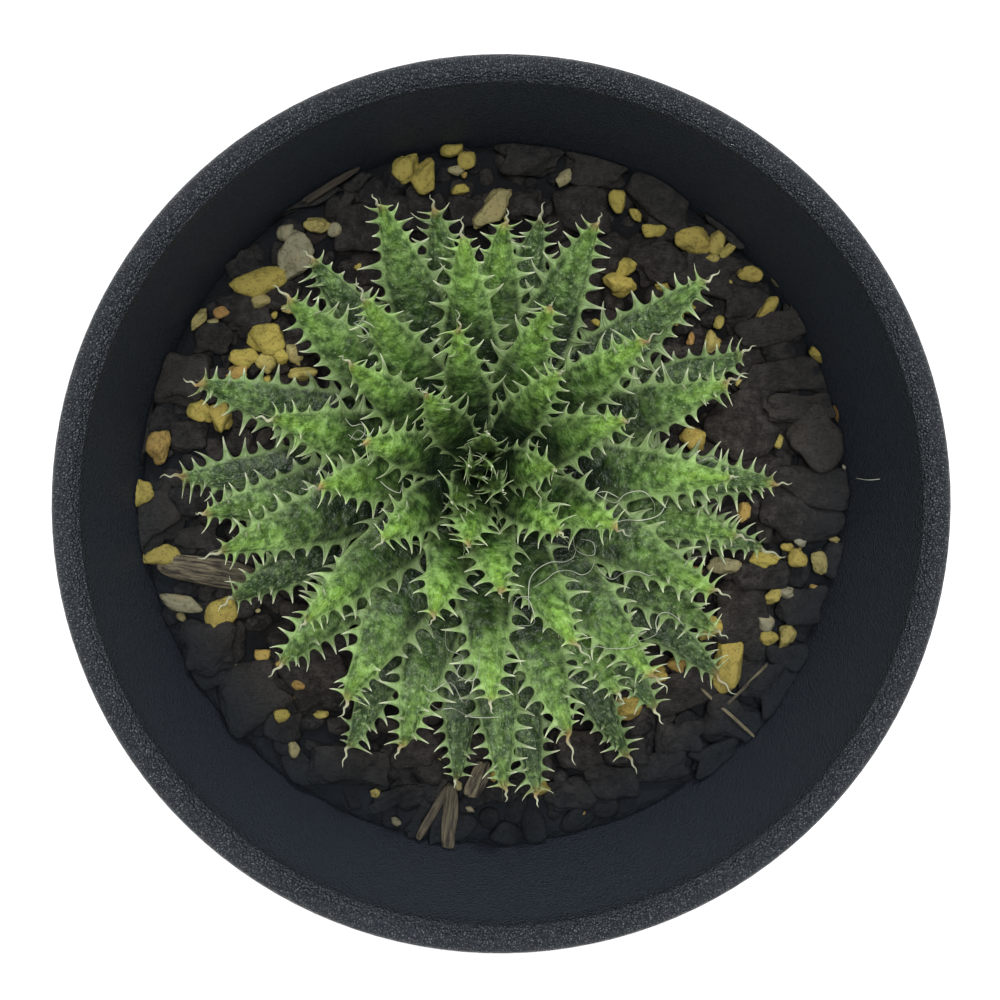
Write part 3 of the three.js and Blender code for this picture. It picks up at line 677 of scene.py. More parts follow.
def rounded(bends, step):
    """Places at even steps on a smooth line through bends."""
    ends = [bends[0], *bends, bends[-1]]
    line = []
    for corners in zip(ends, ends[1:], ends[2:], ends[3:]):
        before, start, end, after = (Vector(place) for place in corners)
        parts = max(2, round((end - start).length / step))
        for i in range(parts):
            t = i / parts
            pull = (end - before) * t + (2 * before - 5 * start + 4 * end - after) * t**2
            line.append(start + (pull + (3 * start - before - 3 * end + after) * t**3) / 2)
    return line + [Vector(bends[-1])]


class LeafPlan:
    """Where a leaf sits and ends, and its size. The share runs from 0 at the top layer to 1 at the bottom one."""

    def __init__(self, direction, reach, share, seed):
        grown = min(1, share / FULL_GROWN)
        self.seed = seed
        self.turn = math.radians(direction)
        seat_reach = between(SEAT_REACH_HIGH, SEAT_REACH_LOW, math.sqrt(share)) - SEAT_SINK
        self.seat = (seat_reach, between(SEAT_HIGH, SEAT_LOW, share))
        self.tip = (reach, between(TIP_HIGH, TIP_LOW, share**TIP_FALL))
        self.half_width = between(INNER_HALF_WIDTH, OUTER_HALF_WIDTH, grown)
        self.thickness = between(INNER_THICKNESS, 1, grown)
        self.fullness = self.half_width / OUTER_HALF_WIDTH
        self.layer = between(TOP_LAYER, 1, share)
        self.twist = math.radians(between(-MOST_TWIST, MOST_TWIST, next_draw(seed) / DRAW_SPAN))

    def shrink(self, drop, scale):
        """Shortens and narrows a leaf of the heart."""
        self.tip = (self.tip[0], self.tip[1] - drop)
        self.half_width *= scale
        self.thickness *= scale
        self.fullness *= scale
        self.layer = 0

    def corners(self):
        """The three points of the middle line's curve: seat, knee and tip."""
        knee = (between(self.seat[0], self.tip[0], KNEE_OUT), between(self.seat[1], self.tip[1], KNEE_UP))
        outward = Vector((math.cos(self.turn), math.sin(self.turn), 0))
        return [STEM + outward * out + Vector((0, 0, up)) for out, up in (self.seat, knee, self.tip)]

    def length(self):
        points = [self.point(i / 20) for i in range(21)]
        return sum((b - a).length for a, b in zip(points, points[1:]))

    def point(self, share):
        seat, knee, tip = self.corners()
        return seat * (1 - share) ** 2 + knee * 2 * share * (1 - share) + tip * share**2

    def axes(self, share):
        """Side, upward and forward directions at a share of the length."""
        seat, knee, tip = self.corners()
        along = ((knee - seat) * (1 - share) + (tip - knee) * share).normalized()
        side = Vector((-math.sin(self.turn), math.cos(self.turn), 0))
        side = Matrix.Rotation(self.twist * share, 3, along) @ side
        return side, along.cross(side), along


def spread_rings(pairs):
    """Shares of the length for the rings of a leaf: a gap and a tooth in turn, closer together towards the tip."""
    rings = [(i + part) / pairs for i in range(pairs) for part in (0, GAP_SHARE)] + [1]
    return [1 - (1 - ring) ** RING_CROWDING for ring in rings]


class LeafSurface:
    """The grid of points round and along one leaf, and what is drawn out of it."""

    def __init__(self, plan, pairs, draws):
        self.plan = plan
        self.shares = spread_rings(pairs)
        self.rings = len(self.shares)
        self.stagger = draws.uniform(-0.5, 0.5) / pairs
        self.offset = Vector((plan.seed * 3.7, plan.seed * 1.3, 0))
        self.length = plan.length()
        self.bm = bmesh.new()
        self.growth = self.bm.verts.layers.float_color.new("growth")
        self.way = self.bm.verts.layers.float_vector.new("way")
        self.grid = {}
        columns = len(SECTION)
        add_tube(self.bm, columns, self.rings)
        for vert in self.bm.verts:
            ring = round((vert.co.z + 0.5) * (self.rings - 1))
            column = round(math.atan2(vert.co.y, vert.co.x) * columns / (2 * math.pi)) % columns
            self.grid[ring, column] = vert
        for (ring, column), vert in self.grid.items():
            self.place(vert, ring, column)

    def place(self, vert, ring, column):
        """Moves a corner of the tube to its place on the leaf and notes where that is."""
        plan = self.plan
        across = SECTION[column]
        share = self.shares[ring]
        share += across * self.stagger * min(1, 6 * share * (1 - share))
        side, up, _ = plan.axes(share)
        width = plan.half_width * at_share(WIDTH_STEPS, share)
        width *= 1 + WIDTH_WAVE * noise.noise(Vector((share * 7, math.copysign(3, across), 0)) + self.offset)
        if column < UPPER_POINTS:
            swell = at_share(SWELL_STEPS, share)
            rise = between(MARGIN_HALF_THICKNESS, swell, (1 - across**2) ** 0.7)
        else:
            keel = plan.thickness * at_share(KEEL_STEPS, share)
            rise = -between(MARGIN_HALF_THICKNESS, keel, (1 - abs(across)) ** 0.8)
        place = Vector((share * self.length * 0.45, across * 2, rise))
        lump = LUMPS * plan.fullness * noise.noise(place + self.offset) * (1 - 0.6 * abs(across))
        vert.co = plan.point(share) + side * width * across + up * (rise + lump)
        vert[self.growth] = (share / SHARE_SPAN, 0, plan.layer, abs(across))
        vert[self.way] = (share * self.length, across * plan.half_width, plan.seed * 7.3)

    def draw_out(self, face, share, heading, steps, bend):
        """Draws a face out. Each step moves it on, narrows it and turns it by the bend, and has its own paleness."""
        for length, narrowing, pale, on in steps:
            face = bmesh.ops.extrude_discrete_faces(self.bm, faces=[face])["faces"][0]
            heading = (heading.normalized() + bend * length).normalized()
            centre = face.calc_center_median()
            for vert in face.verts:
                vert.co = centre + (vert.co - centre) * narrowing + heading * length
                vert[self.growth] = ((share + on) / SHARE_SPAN, pale, self.plan.layer, 1)
        return face

    def claw(self, ring, column, heading, length, bend):
        """Draws a claw with a broad, thin foot and a fine point out of one face."""
        after = (column + 1) % len(SECTION)
        around = ((ring, column), (ring, after), (ring + 1, after), (ring + 1, column))
        face = self.bm.faces.get([self.grid[place] for place in around])
        steps = [(length * part, narrowing, pale, 0) for part, narrowing, pale in TOOTH_STEPS]
        self.draw_out(face, self.shares[ring], heading, steps, bend)

    def awn(self, length, draws):
        """Draws a dry, wavy thread out of the tip."""
        side, up, along = self.plan.axes(1)
        face = self.bm.faces.get([self.grid[self.rings - 1, column] for column in range(len(SECTION))])
        heading = along
        steps = [(0.3, 0.5, 0.35, 0.03)]
        for i in range(AWN_STEPS):
            steps.append((length / AWN_STEPS, 0.82 if i < AWN_STEPS - 1 else 0.3, 0.9, 0.08 + 0.05 * i))
        wave = side * draws.choice((-1, 1))
        for i, step in enumerate(steps):
            bend = wave * draws.uniform(0.3, 1.5) * (-1) ** (i // 2) + up * draws.uniform(-0.6, 0.7)
            heading = (along + heading.normalized() * 0.7 + bend).normalized()
            face = self.draw_out(face, 1, heading, [step], Vector((0, 0, 0)))


def grow_leaf(plan, settings):
    """A bmesh of one leaf: keeled sections along a curve, claws on the margins and keel, and an awn at the tip."""
    draws = random.Random(plan.seed)
    spacing = settings.tooth_spacing / MM * between(SMALL_SPACING, 1, plan.fullness)
    leaf = LeafSurface(plan, max(LEAST_TEETH, round(plan.length() / spacing)), draws)
    reach = settings.tooth_length / MM * between(SMALL_CLAWS, 1, plan.fullness)
    wild = between(1.5, 0.5, min(1, plan.layer * 2.2))
    for ring in range(1, leaf.rings - 1, 2):
        share = leaf.shares[ring]
        side, up, along = plan.axes(share)
        strength = min(1, share / 0.45) * between(1, 0.75, max(0, share - 0.7) / 0.3)
        for column, sign in MARGIN_FACES:
            if draws.random() < MISSING_TEETH:
                continue
            length = reach * strength * draws.choice(CLAW_SIZES) * draws.uniform(0.8, 1.2)
            heading = side * sign + up * draws.uniform(-0.3, 0.35) + along * draws.uniform(-0.1, 0.4)
            bend = along * draws.uniform(-0.3 * wild, 0.8) + up * draws.uniform(-wild, wild) * 0.6
            leaf.claw(ring, column, heading, length, bend)
        if share > KEEL_CLAWS_FROM:
            length = reach * draws.uniform(0.5, 0.9)
            leaf.claw(ring, KEEL_FACE, along * 0.45 - up, length, along * draws.uniform(0.2, 0.6))
        crown = share > CROWN_CLAWS_FROM - 0.2 * (plan.layer < 0.25)
        if crown and draws.random() < CROWN_CHANCE:
            column = draws.choice(tuple(CROWN_FACES))
            heading = along * 0.5 + up + side * CROWN_FACES[column]
            leaf.claw(ring, column, heading, reach * draws.uniform(0.45, 0.85), along * draws.uniform(-0.3, 0.5))
    leaf.awn(settings.awn_length / MM * draws.uniform(0.4, 1.35) * between(SMALL_AWN, 1, plan.fullness), draws)
    return leaf.bm


def leaf_finish(settings):
    """Waxy leaf: a green middle band between paler webs with dark windows, pale claws and a dry awn."""
    leaf = Finish("waxy_leaf", IOR=1.42, Specular_IOR_Level=0.4)
    share, pale, layer = leaf.add("SeparateColor", Color=leaf.attribute("growth", "Color")).outputs[:3]
    across = leaf.attribute("growth", "Alpha")
    fine = leaf.grain(0.34, 3.0, 0.65)
    blotch = leaf.grain(0.9, 2.0, 0.4)
    broad = leaf.share(leaf.grain(4.0, 2.0), 0.36, 0.56, 0.3, 1.0)
    leaf.follow("way")
    wander = leaf.grain(1.4, 3.0)
    windows = leaf.net(1.6, 0.6, (0.7, 1, 1))
    towards_tip = leaf.share(share, 0.34, 0.66)
    # The band, and the web with its windows beside it, of the upper leaves, and of the lowest ones in the darker
    # colours of painted shade
    web = leaf.share(leaf.maths("ADD", across, leaf.times(wander, 0.6)), 0.42, 0.8)
    web = leaf.times(web, leaf.maths("SUBTRACT", 1.0, leaf.times(towards_tip, 0.45)))
    band = leaf.tint(settings.band_colour, (wander, 0.3, 0.7, 1.0, settings.leaf_colour))
    green = leaf.blend(web, band, leaf.blend(windows, settings.window_colour, settings.web_colour))
    # The band turns lighter towards the tip: partly its own colour, partly painted light on the tips that face the lamp
    green = leaf.blend(leaf.times(towards_tip, 0.8), green, leaf.blend(web, settings.tip_colour, green))
    shaded_low_band = leaf.blend(wander, settings.shaded_low_window_colour, settings.shaded_low_leaf_colour)
    shaded_low_web = leaf.blend(windows, settings.shaded_low_window_colour, settings.shaded_low_web_colour)
    shaded_low_green = leaf.blend(web, shaded_low_band, shaded_low_web)
    # Blotches, the bright ones stronger on the upper leaves as painted light, and flecks: pale ones painted as small
    # glints, and dark ones
    bright = leaf.times(leaf.share(blotch, 0.52, 0.66, 0.0, 0.5), leaf.share(layer, 0.4, 1.0, 1.0, 0.25))
    # The lower leaves take the darker colours of painted shade; dark blotches take the window colour
    green = leaf.tint(green, (layer, 0.35, 0.85, 0.9, shaded_low_green), (blotch, 0.48, 0.36, 0.6, settings.window_colour))
    green = leaf.tint(
        leaf.blend(bright, green, settings.bright_colour),
        (fine, 0.55, 0.7, 0.6, settings.margin_colour),
        (fine, 0.44, 0.3, 0.5, settings.window_colour),
    )
    # Shade deep between the leaves, in the heart and in broad patches that fade towards the tip
    foot = leaf.share(layer, TOP_LAYER, 0.8, 0.22, 0.27)
    shade = leaf.share(leaf.maths("SUBTRACT", share, foot), 0.0, 0.3, 0.04, 1.0)
    heart = leaf.share(layer, 0.0, TOP_LAYER, 0.35, 1.0)
    lift = leaf.times(leaf.maths("SUBTRACT", 1.0, broad), leaf.times(towards_tip, 0.7))
    light = leaf.times(shade, heart, leaf.maths("ADD", broad, lift))
    green = leaf.blend(light, settings.shade_colour, green)
    # Margins, claws dimmed with the painted shade, and the dry foot of the awn
    colour = leaf.tint(green, (across, 0.8, 1.0, 0.4, settings.margin_colour))
    claw = leaf.times(leaf.share(pale, 0.2, 1.0), leaf.share(shade, 0.06, 0.9, 0.3, 1.0))
    colour = leaf.blend(claw, colour, settings.tooth_colour)
    chance = leaf.add("TexWhiteNoise", {"noise_dimensions": "1D"}, W=leaf.axes()["Z"]).outputs["Value"]
    dry = leaf.times(
        leaf.share(share, 0.645, 0.69),
        leaf.share(share, 0.8, 0.72),
        leaf.share(layer, 0.06, 0.14),
        leaf.share(chance, 0.2, 1.0, 0.15, 1.0),
    )
    colour = leaf.blend(dry, colour, settings.dry_colour)
    normal = leaf.bump(fine, 0.08, 0.9, Normal=leaf.bump(wander, 0.75, 0.8))
    return leaf.finish(colour, Roughness=leaf.share(fine, 0.3, 0.7, 0.5, 0.26), Normal=normal)


def pot_finish(settings):
    """Black plastic with a fine moulded grain that glints on the rim, dust with painted glints in the grain of the
    crown, and a paler, bluer, rougher inner wall below the rim.
    """
    pot = Finish("grained_plastic", IOR=1.4, Specular_IOR_Level=0.45)
    base, top, wall = settings.plastic_colour, settings.height, inner_radius(0) * MM
    colour = pot.tint(base, (pot.grain(12.0, 3.0), 0.3, 0.7, 1.0, scaled(base, 1.3)))
    axes = pot.axes()
    slope = inner_radius(1) - inner_radius(0)
    beyond = pot.maths("SUBTRACT", pot.reach(axes), pot.times(axes["Z"], slope))
    # Paler, bluer and rougher on the inner wall below the rim
    inner_wall_tint = pot.times(
        pot.share(axes["Z"], top - 0.001, top - 0.003, 0.0, 0.85),
        pot.share(beyond, wall + 0.0003, wall + 0.0009, 1.0, 0.0),
    )
    colour = pot.blend(inner_wall_tint, colour, settings.inner_wall_colour)
    grit = pot.cells(0.25)
    # Dust in the grain of the crown, with painted glints: light specks on the crown's top that fade inward
    dust = pot.times(
        pot.share(grit, 0.36, 0.22, 0.0, 0.6),
        pot.share(axes["Z"], top - 0.0011, top - 0.0003, 0.1, 1.0),
        pot.share(pot.grain(0.5, 3.0, 0.6), 0.42, 0.62),
    )
    colour = pot.blend(dust, colour, settings.dust_and_glint_colour)
    rough = pot.maths("ADD", pot.share(pot.grain(0.5, 2.0), 0.35, 0.65, 0.16, 0.46), pot.times(inner_wall_tint, 0.35))
    normal = pot.bump(pot.grain(0.18, 2.0, 0.6), 0.08, 0.9, Normal=pot.bump(grit, 0.26, 0.9))
    return pot.finish(colour, Roughness=rough, Normal=normal)


def painted_wall_shade(finish, settings, colour, most=1.0):
    """Paints shade, tinted blue, on the mix towards the wall, more on the side away from the light."""
    axes = finish.axes()
    edge = finish.share(finish.reach(axes), 0.026, 0.035)
    side = finish.share(axes["Y"], 0.012, -0.018, 0.5 * most, most)
    return finish.blend(finish.times(edge, side), colour, settings.wall_shade_colour)


def soil_finish(settings):
    """Fine dark mix, as good as black between the chips."""
    soil = Finish("fine_mix", Roughness=0.95, Specular_IOR_Level=0.12)
    crumbs = soil.grain(0.9, 5.0, 0.7)
    colour = soil.tint(settings.soil_colour, (crumbs, 0.4, 0.7, 1.0, scaled(settings.soil_colour, 2.2)))
    # The mix by the wall takes painted shade, tinted blue
    return soil.finish(painted_wall_shade(soil, settings, colour), Normal=soil.bump(crumbs, 0.5))


def bark_finish(settings):
    """Dark bark: crumbly, with dusty lighter patches, dark pits and a fine fibrous grain."""
    bark = Finish("bark", Specular_IOR_Level=0.2)
    mottle = bark.grain(1.3, 6.0, 0.75)
    fibre = bark.grain(0.45, 4.0, 0.7, (1, 3, 3))
    dark, dust = settings.soil_colour, settings.bark_dust_colour
    colour = bark.tint(
        settings.bark_colour,
        (bark.tone(), 0.15, 0.9, 1.0, settings.pale_bark_colour),
        (mottle, 0.47, 0.62, 0.85, dust),
        (fibre, 0.55, 0.3, 0.75, dark),
        (mottle, 0.45, 0.3, 0.8, dark),
        (bark.grain(0.5, 4.0, 0.7), 0.58, 0.72, 0.6, dust),
    )
    # The chips by the wall take painted shade, tinted blue
    colour = painted_wall_shade(bark, settings, colour)
    normal = bark.bump(bark.cells(0.55), 0.2, 0.8, Normal=bark.bump(mottle, 0.7))
    normal = bark.bump(fibre, 0.2, 0.9, Normal=normal)
    return bark.finish(colour, Roughness=bark.share(mottle, 0.4, 0.65, 0.55, 0.95), Normal=normal)


def pumice_finish(settings):
    """Pale porous stone, from grey through yellow to tan by its tone."""
    stone = Finish("pumice", Roughness=0.9, Specular_IOR_Level=0.25)
    tone = stone.tone()
    patch = stone.grain(1.5, 5.0, 0.7)
    yellow, tan = settings.pumice_colour, settings.tan_colour
    grime = scaled(yellow, 0.22)
    colour = stone.tint(
        settings.stone_colour,
        (tone, 0.0, 0.6, 1.0, yellow),
        (tone, 0.72, 1.0, 1.0, tan),
        (patch, 0.52, 0.74, 0.35, tan),
        (patch, 0.46, 0.28, 0.75, grime),
        (stone.cells(0.42), 0.32, 0.1, 0.65, grime),
    )
    # The pebbles by the wall take half the painted shade, tinted blue
    colour = painted_wall_shade(stone, settings, colour, 0.5)
    normal = stone.bump(stone.grain(0.35, 4.0, 0.7), 0.12, 0.9, Normal=stone.bump(patch, 0.35, 0.8))
    return stone.finish(colour, Normal=normal)


def wood_finish(settings):
    """Split wood with fine streaks along its grain."""
    wood = Finish("split_wood", Roughness=0.85, Specular_IOR_Level=0.25)
    wood.follow("way")
    fibre = wood.grain(0.3, 4.0, 0.7, (0.12, 1, 1))
    light = wood.blend(wood.tone(), settings.bark_colour, settings.wood_colour)
    colour = wood.tint(scaled(settings.bark_colour, 2), (fibre, 0.38, 0.62, 1.0, light))
    return wood.finish(colour, Normal=wood.bump(fibre, 0.2))


def hair_finish(settings):
    """Dry hair, greyer in places."""
    hair = Finish("dry_hair", Roughness=0.6)
    grey = scaled(settings.hair_colour, 0.55)
    colour = hair.blend(hair.tone(), grey, settings.hair_colour)
    return hair.finish(hair.tint(colour, (hair.grain(0.8, 2.0), 0.4, 0.7, 0.5, grey)))


def stem_finish(settings):
    """Pale cork in rings, green at the growing end."""
    stem = Finish("corky_stem", Roughness=0.8)
    rings = stem.grain(0.8, 4.0, 0.6, (1, 1, 4))
    colour = stem.tint(
        scaled(settings.stem_colour, 0.45),
        (rings, 0.35, 0.65, 1.0, settings.stem_colour),
        (stem.axes()["Z"], 0.056, 0.062, 1.0, settings.stem_top_colour),
    )
    return stem.finish(colour, Normal=stem.bump(rings, 0.25))


def floor_finish(settings):
    """Plain paper, a little uneven."""
    paper = Finish("pale_floor", Roughness=0.9)
    white = settings.floor_colour
    return paper.finish(paper.tint(white, (paper.grain(30.0, 2.0), 0.3, 0.7, 1.0, scaled(white, 0.99))))


def colour_setting(name, what, default):
    description = f"Colour of {what}"
    return FloatVectorProperty(name=name, description=description, default=default, subtype="COLOR", min=0, max=1)


def length_setting(name, description, default):
    return FloatProperty(
        name=name, description=description, default=default, subtype="DISTANCE", unit="LENGTH", min=0, precision=5
    )


def strength_setting(name, description, default):
    return FloatProperty(name=name, description=description, default=default, min=0)


class PotSettings(PropertyGroup):
    """The nursery pot"""

    rim_radius: length_setting("Rim radius", "Outer radius of the rolled rim", POT_HIGH.x)
    height: length_setting("Height", "Height from the foot to the rim", POT_HIGH.z)
    plastic_colour: colour_setting("Plastic", "the pot", (0.014, 0.018, 0.0235))
    inner_wall_colour: colour_setting("Inner wall", "the wall under the rim", (0.028, 0.037, 0.052))
    # Dust in the crown's grain, with painted glints
    dust_and_glint_colour: colour_setting("Dust and glints", "the dust and painted glints in the crown's grain", (0.26, 0.275, 0.29))


class MixSettings(PropertyGroup):
    """The potting mix"""

    level: length_setting("Level", "Height of the mix between the chips", 0.0534)
    fill_chips: IntProperty(
        name="Chips", description="Bark chips besides those with a place of their own", default=560, min=0
    )
    chip_length: length_setting("Chip length", "Mean length of a bark chip", 0.0036)
    soil_colour: colour_setting("Soil", "the fine mix between the chips", (0.0055, 0.005, 0.0048))
    # Painted shade, tinted blue, on the mix by the wall
    wall_shade_colour: colour_setting("Wall shade", "the painted shade, tinted blue, on the mix by the wall", (0.0125, 0.016, 0.0205))
    bark_colour: colour_setting("Bark", "the darkest chips", (0.0105, 0.0085, 0.008))
    pale_bark_colour: colour_setting("Pale bark", "the lightest chips", (0.105, 0.09, 0.07))
    bark_dust_colour: colour_setting("Bark dust", "the dust on the chips", (0.085, 0.076, 0.066))
    pumice_colour: colour_setting("Pumice", "the yellow pebbles", (0.38, 0.315, 0.07))
    stone_colour: colour_setting("Stone", "the pale grey pebbles", (0.27, 0.265, 0.19))
    tan_colour: colour_setting("Tan", "the stained pebbles", (0.34, 0.2, 0.065))
    wood_colour: colour_setting("Wood", "split wood", (0.2, 0.175, 0.11))
    stem_top_colour: colour_setting("Stem top", "the growing end of the stem", (0.012, 0.03, 0.01))
    stem_colour: colour_setting("Stem", "the stem and roots", (0.32, 0.28, 0.14))


class LeafSettings(PropertyGroup):
    """The leaves"""

    tooth_spacing: length_setting("Tooth spacing", "Distance between the teeth along a margin", 0.0019)
    tooth_length: length_setting("Tooth length", "Mean length of the longest teeth", 0.0019)
    awn_length: length_setting("Awn length", "Mean length of the thread at the tip", 0.0026)
    band_colour: colour_setting("Middle band, dark", "the middle band where it is darker", (0.018, 0.07, 0.009))
    leaf_colour: colour_setting("Middle band, light", "the middle band where it is lighter", (0.12, 0.32, 0.034))
    # A mottle that is painted light where it is strong on the upper leaves
    bright_colour: colour_setting("Bright blotches", "the lightest blotches", (0.37, 0.62, 0.17))
    web_colour: colour_setting("Web", "the net beside the band", (0.2, 0.345, 0.09))
    window_colour: colour_setting("Windows", "the dark windows", (0.011, 0.036, 0.008))
    # Painted shade on the leaves deep between the others and in the heart
    shade_colour: colour_setting("Painted leaf shade", "the painted shade on a leaf deep between the others", (0.004, 0.0085, 0.004))
    # Partly the tips' own colour, partly painted light
    tip_colour: colour_setting("Tips", "the band towards the tip", (0.34, 0.58, 0.08))
    # The lowest leaves' colours are darker as painted shade
    shaded_low_leaf_colour: colour_setting("Low leaf", "the band of the lowest leaves", (0.022, 0.056, 0.015))
    shaded_low_web_colour: colour_setting("Low web", "the net of the lowest leaves", (0.085, 0.12, 0.065))
    shaded_low_window_colour: colour_setting("Low windows", "the windows in the lowest leaves", (0.007, 0.017, 0.007))
    margin_colour: colour_setting("Margins", "the thin margins", (0.35, 0.5, 0.2))
    tooth_colour: colour_setting("Teeth", "the teeth and awns", (0.8, 0.84, 0.6))
    hair_width: length_setting("Hair width", "Thickness of a loose hair", 0.00011)
    hair_colour: colour_setting("Hairs", "the loose hairs", (0.5, 0.54, 0.42))
    dry_colour: colour_setting("Dry tips", "the leaf where the awn begins", (0.42, 0.27, 0.1))


class StageSettings(PropertyGroup):
    """Floor, light and camera"""

    floor_colour: colour_setting("Floor", "the floor", (0.95, 0.95, 0.95))
    sky_strength: strength_setting("Sky", "Strength of the even light from all sides", 0.5)
    sun_strength: strength_setting("Main light", "Strength of the light from above", 2.2)
    side_strength: strength_setting("Side light", "Strength of the lower light", 1.3)


class HAWORTHIA_OT_pot(Operator):
    """Models the tapered pot with its rolled rim, foot ring and drain holes"""

    bl_idname = "haworthia.make_pot"
    bl_label = "Make pot"

    def execute(self, context):
        settings = context.scene.haworthia_pot
        rim, top = settings.rim_radius / MM, settings.height / MM
        shoulder = top - RIM_DROP
        profile = list(FOOT_PROFILE)
        for i in range(WALL_STEPS + 1):
            share = i / WALL_STEPS
            profile.append((between(FOOT_RADIUS, SHOULDER_RADIUS, share), between(FOOT_STEP, shoulder, share)))
        profile[-1] = (SHOULDER_RADIUS, shoulder - SHOULDER_FILLET)
        profile += [(rim + out, top + up) for out, up in RIM_PROFILE]
        for i in range(WALL_STEPS + 1):
            height = between(shoulder, FLOOR_TOP + WALL_FOOT, i / WALL_STEPS)
            profile.append((inner_radius(height), height))
        profile += [(inner_radius(FLOOR_TOP) + out, FLOOR_TOP + up) for out, up in FLOOR_CORNER]
        profile += [(FLOOR_RADIUS, FLOOR_TOP), (0, FLOOR_TOP)]
        drains = bmesh.new()
        for i in range(DRAINS):
            turn = 2 * math.pi * i / DRAINS
            place = Matrix.Translation((DRAIN_CIRCLE * math.cos(turn), DRAIN_CIRCLE * math.sin(turn), 0))
            add_cone(drains, ROUND_SIDES, DRAIN_RADIUS, DRAIN_RADIUS, DRAIN_DEPTH, place)
        pot = combine(mesh_from(spun(profile, POT_SIDES)), drains, "DIFFERENCE")
        dress("pot_shell", pot, pot_finish(settings), "pot_plastic", ["pot"])
        return {"FINISHED"}


def root_cones(grow):
    """A bmesh of the tapering roots that spread from the foot of the stem, thicker and longer by this much."""
    state = ROOT_SEED
    draws = []
    for i in range(2 * ROOTS):
        state = next_draw(state)
        draws.append(state / DRAW_SPAN)
    bm = bmesh.new()
    length = ROOT_LENGTH + grow
    for i in range(ROOTS):
        dip = math.radians(ROOT_DIP - 12 * draws[2 * i])
        turn = math.radians(360 / ROOTS * i + 20 * draws[2 * i + 1])
        heading = Vector((math.cos(dip) * math.cos(turn), math.cos(dip) * math.sin(turn), -math.sin(dip)))
        place = Matrix.Translation(STEM + Vector((0, 0, ROOT_TOP)) + heading * length / 2)
        place = place @ heading.to_track_quat("Z", "Y").to_matrix().to_4x4()
        add_cone(bm, ROOT_SIDES, ROOT_THICK + grow, ROOT_THIN + grow, length, place)
    return bm


def stem_column(profile):
    """A bmesh of a round column where the stem stands."""
    column = spun(profile, ROUND_SIDES)
    bmesh.ops.translate(column, vec=STEM, verts=column.verts)
    return column


class HAWORTHIA_OT_stem(Operator):
    """Models the short stem and the thick roots in the mix"""

    bl_idname = "haworthia.make_stem"
    bl_label = "Make stem and roots"

    def execute(self, context):
        stem = combine(mesh_from(stem_column(STEM_PROFILE)), root_cones(0), "UNION")
        dress("stem_column", stem, stem_finish(context.scene.haworthia_mix), "stem_tissue", ["stem_and_roots"])
        return {"FINISHED"}


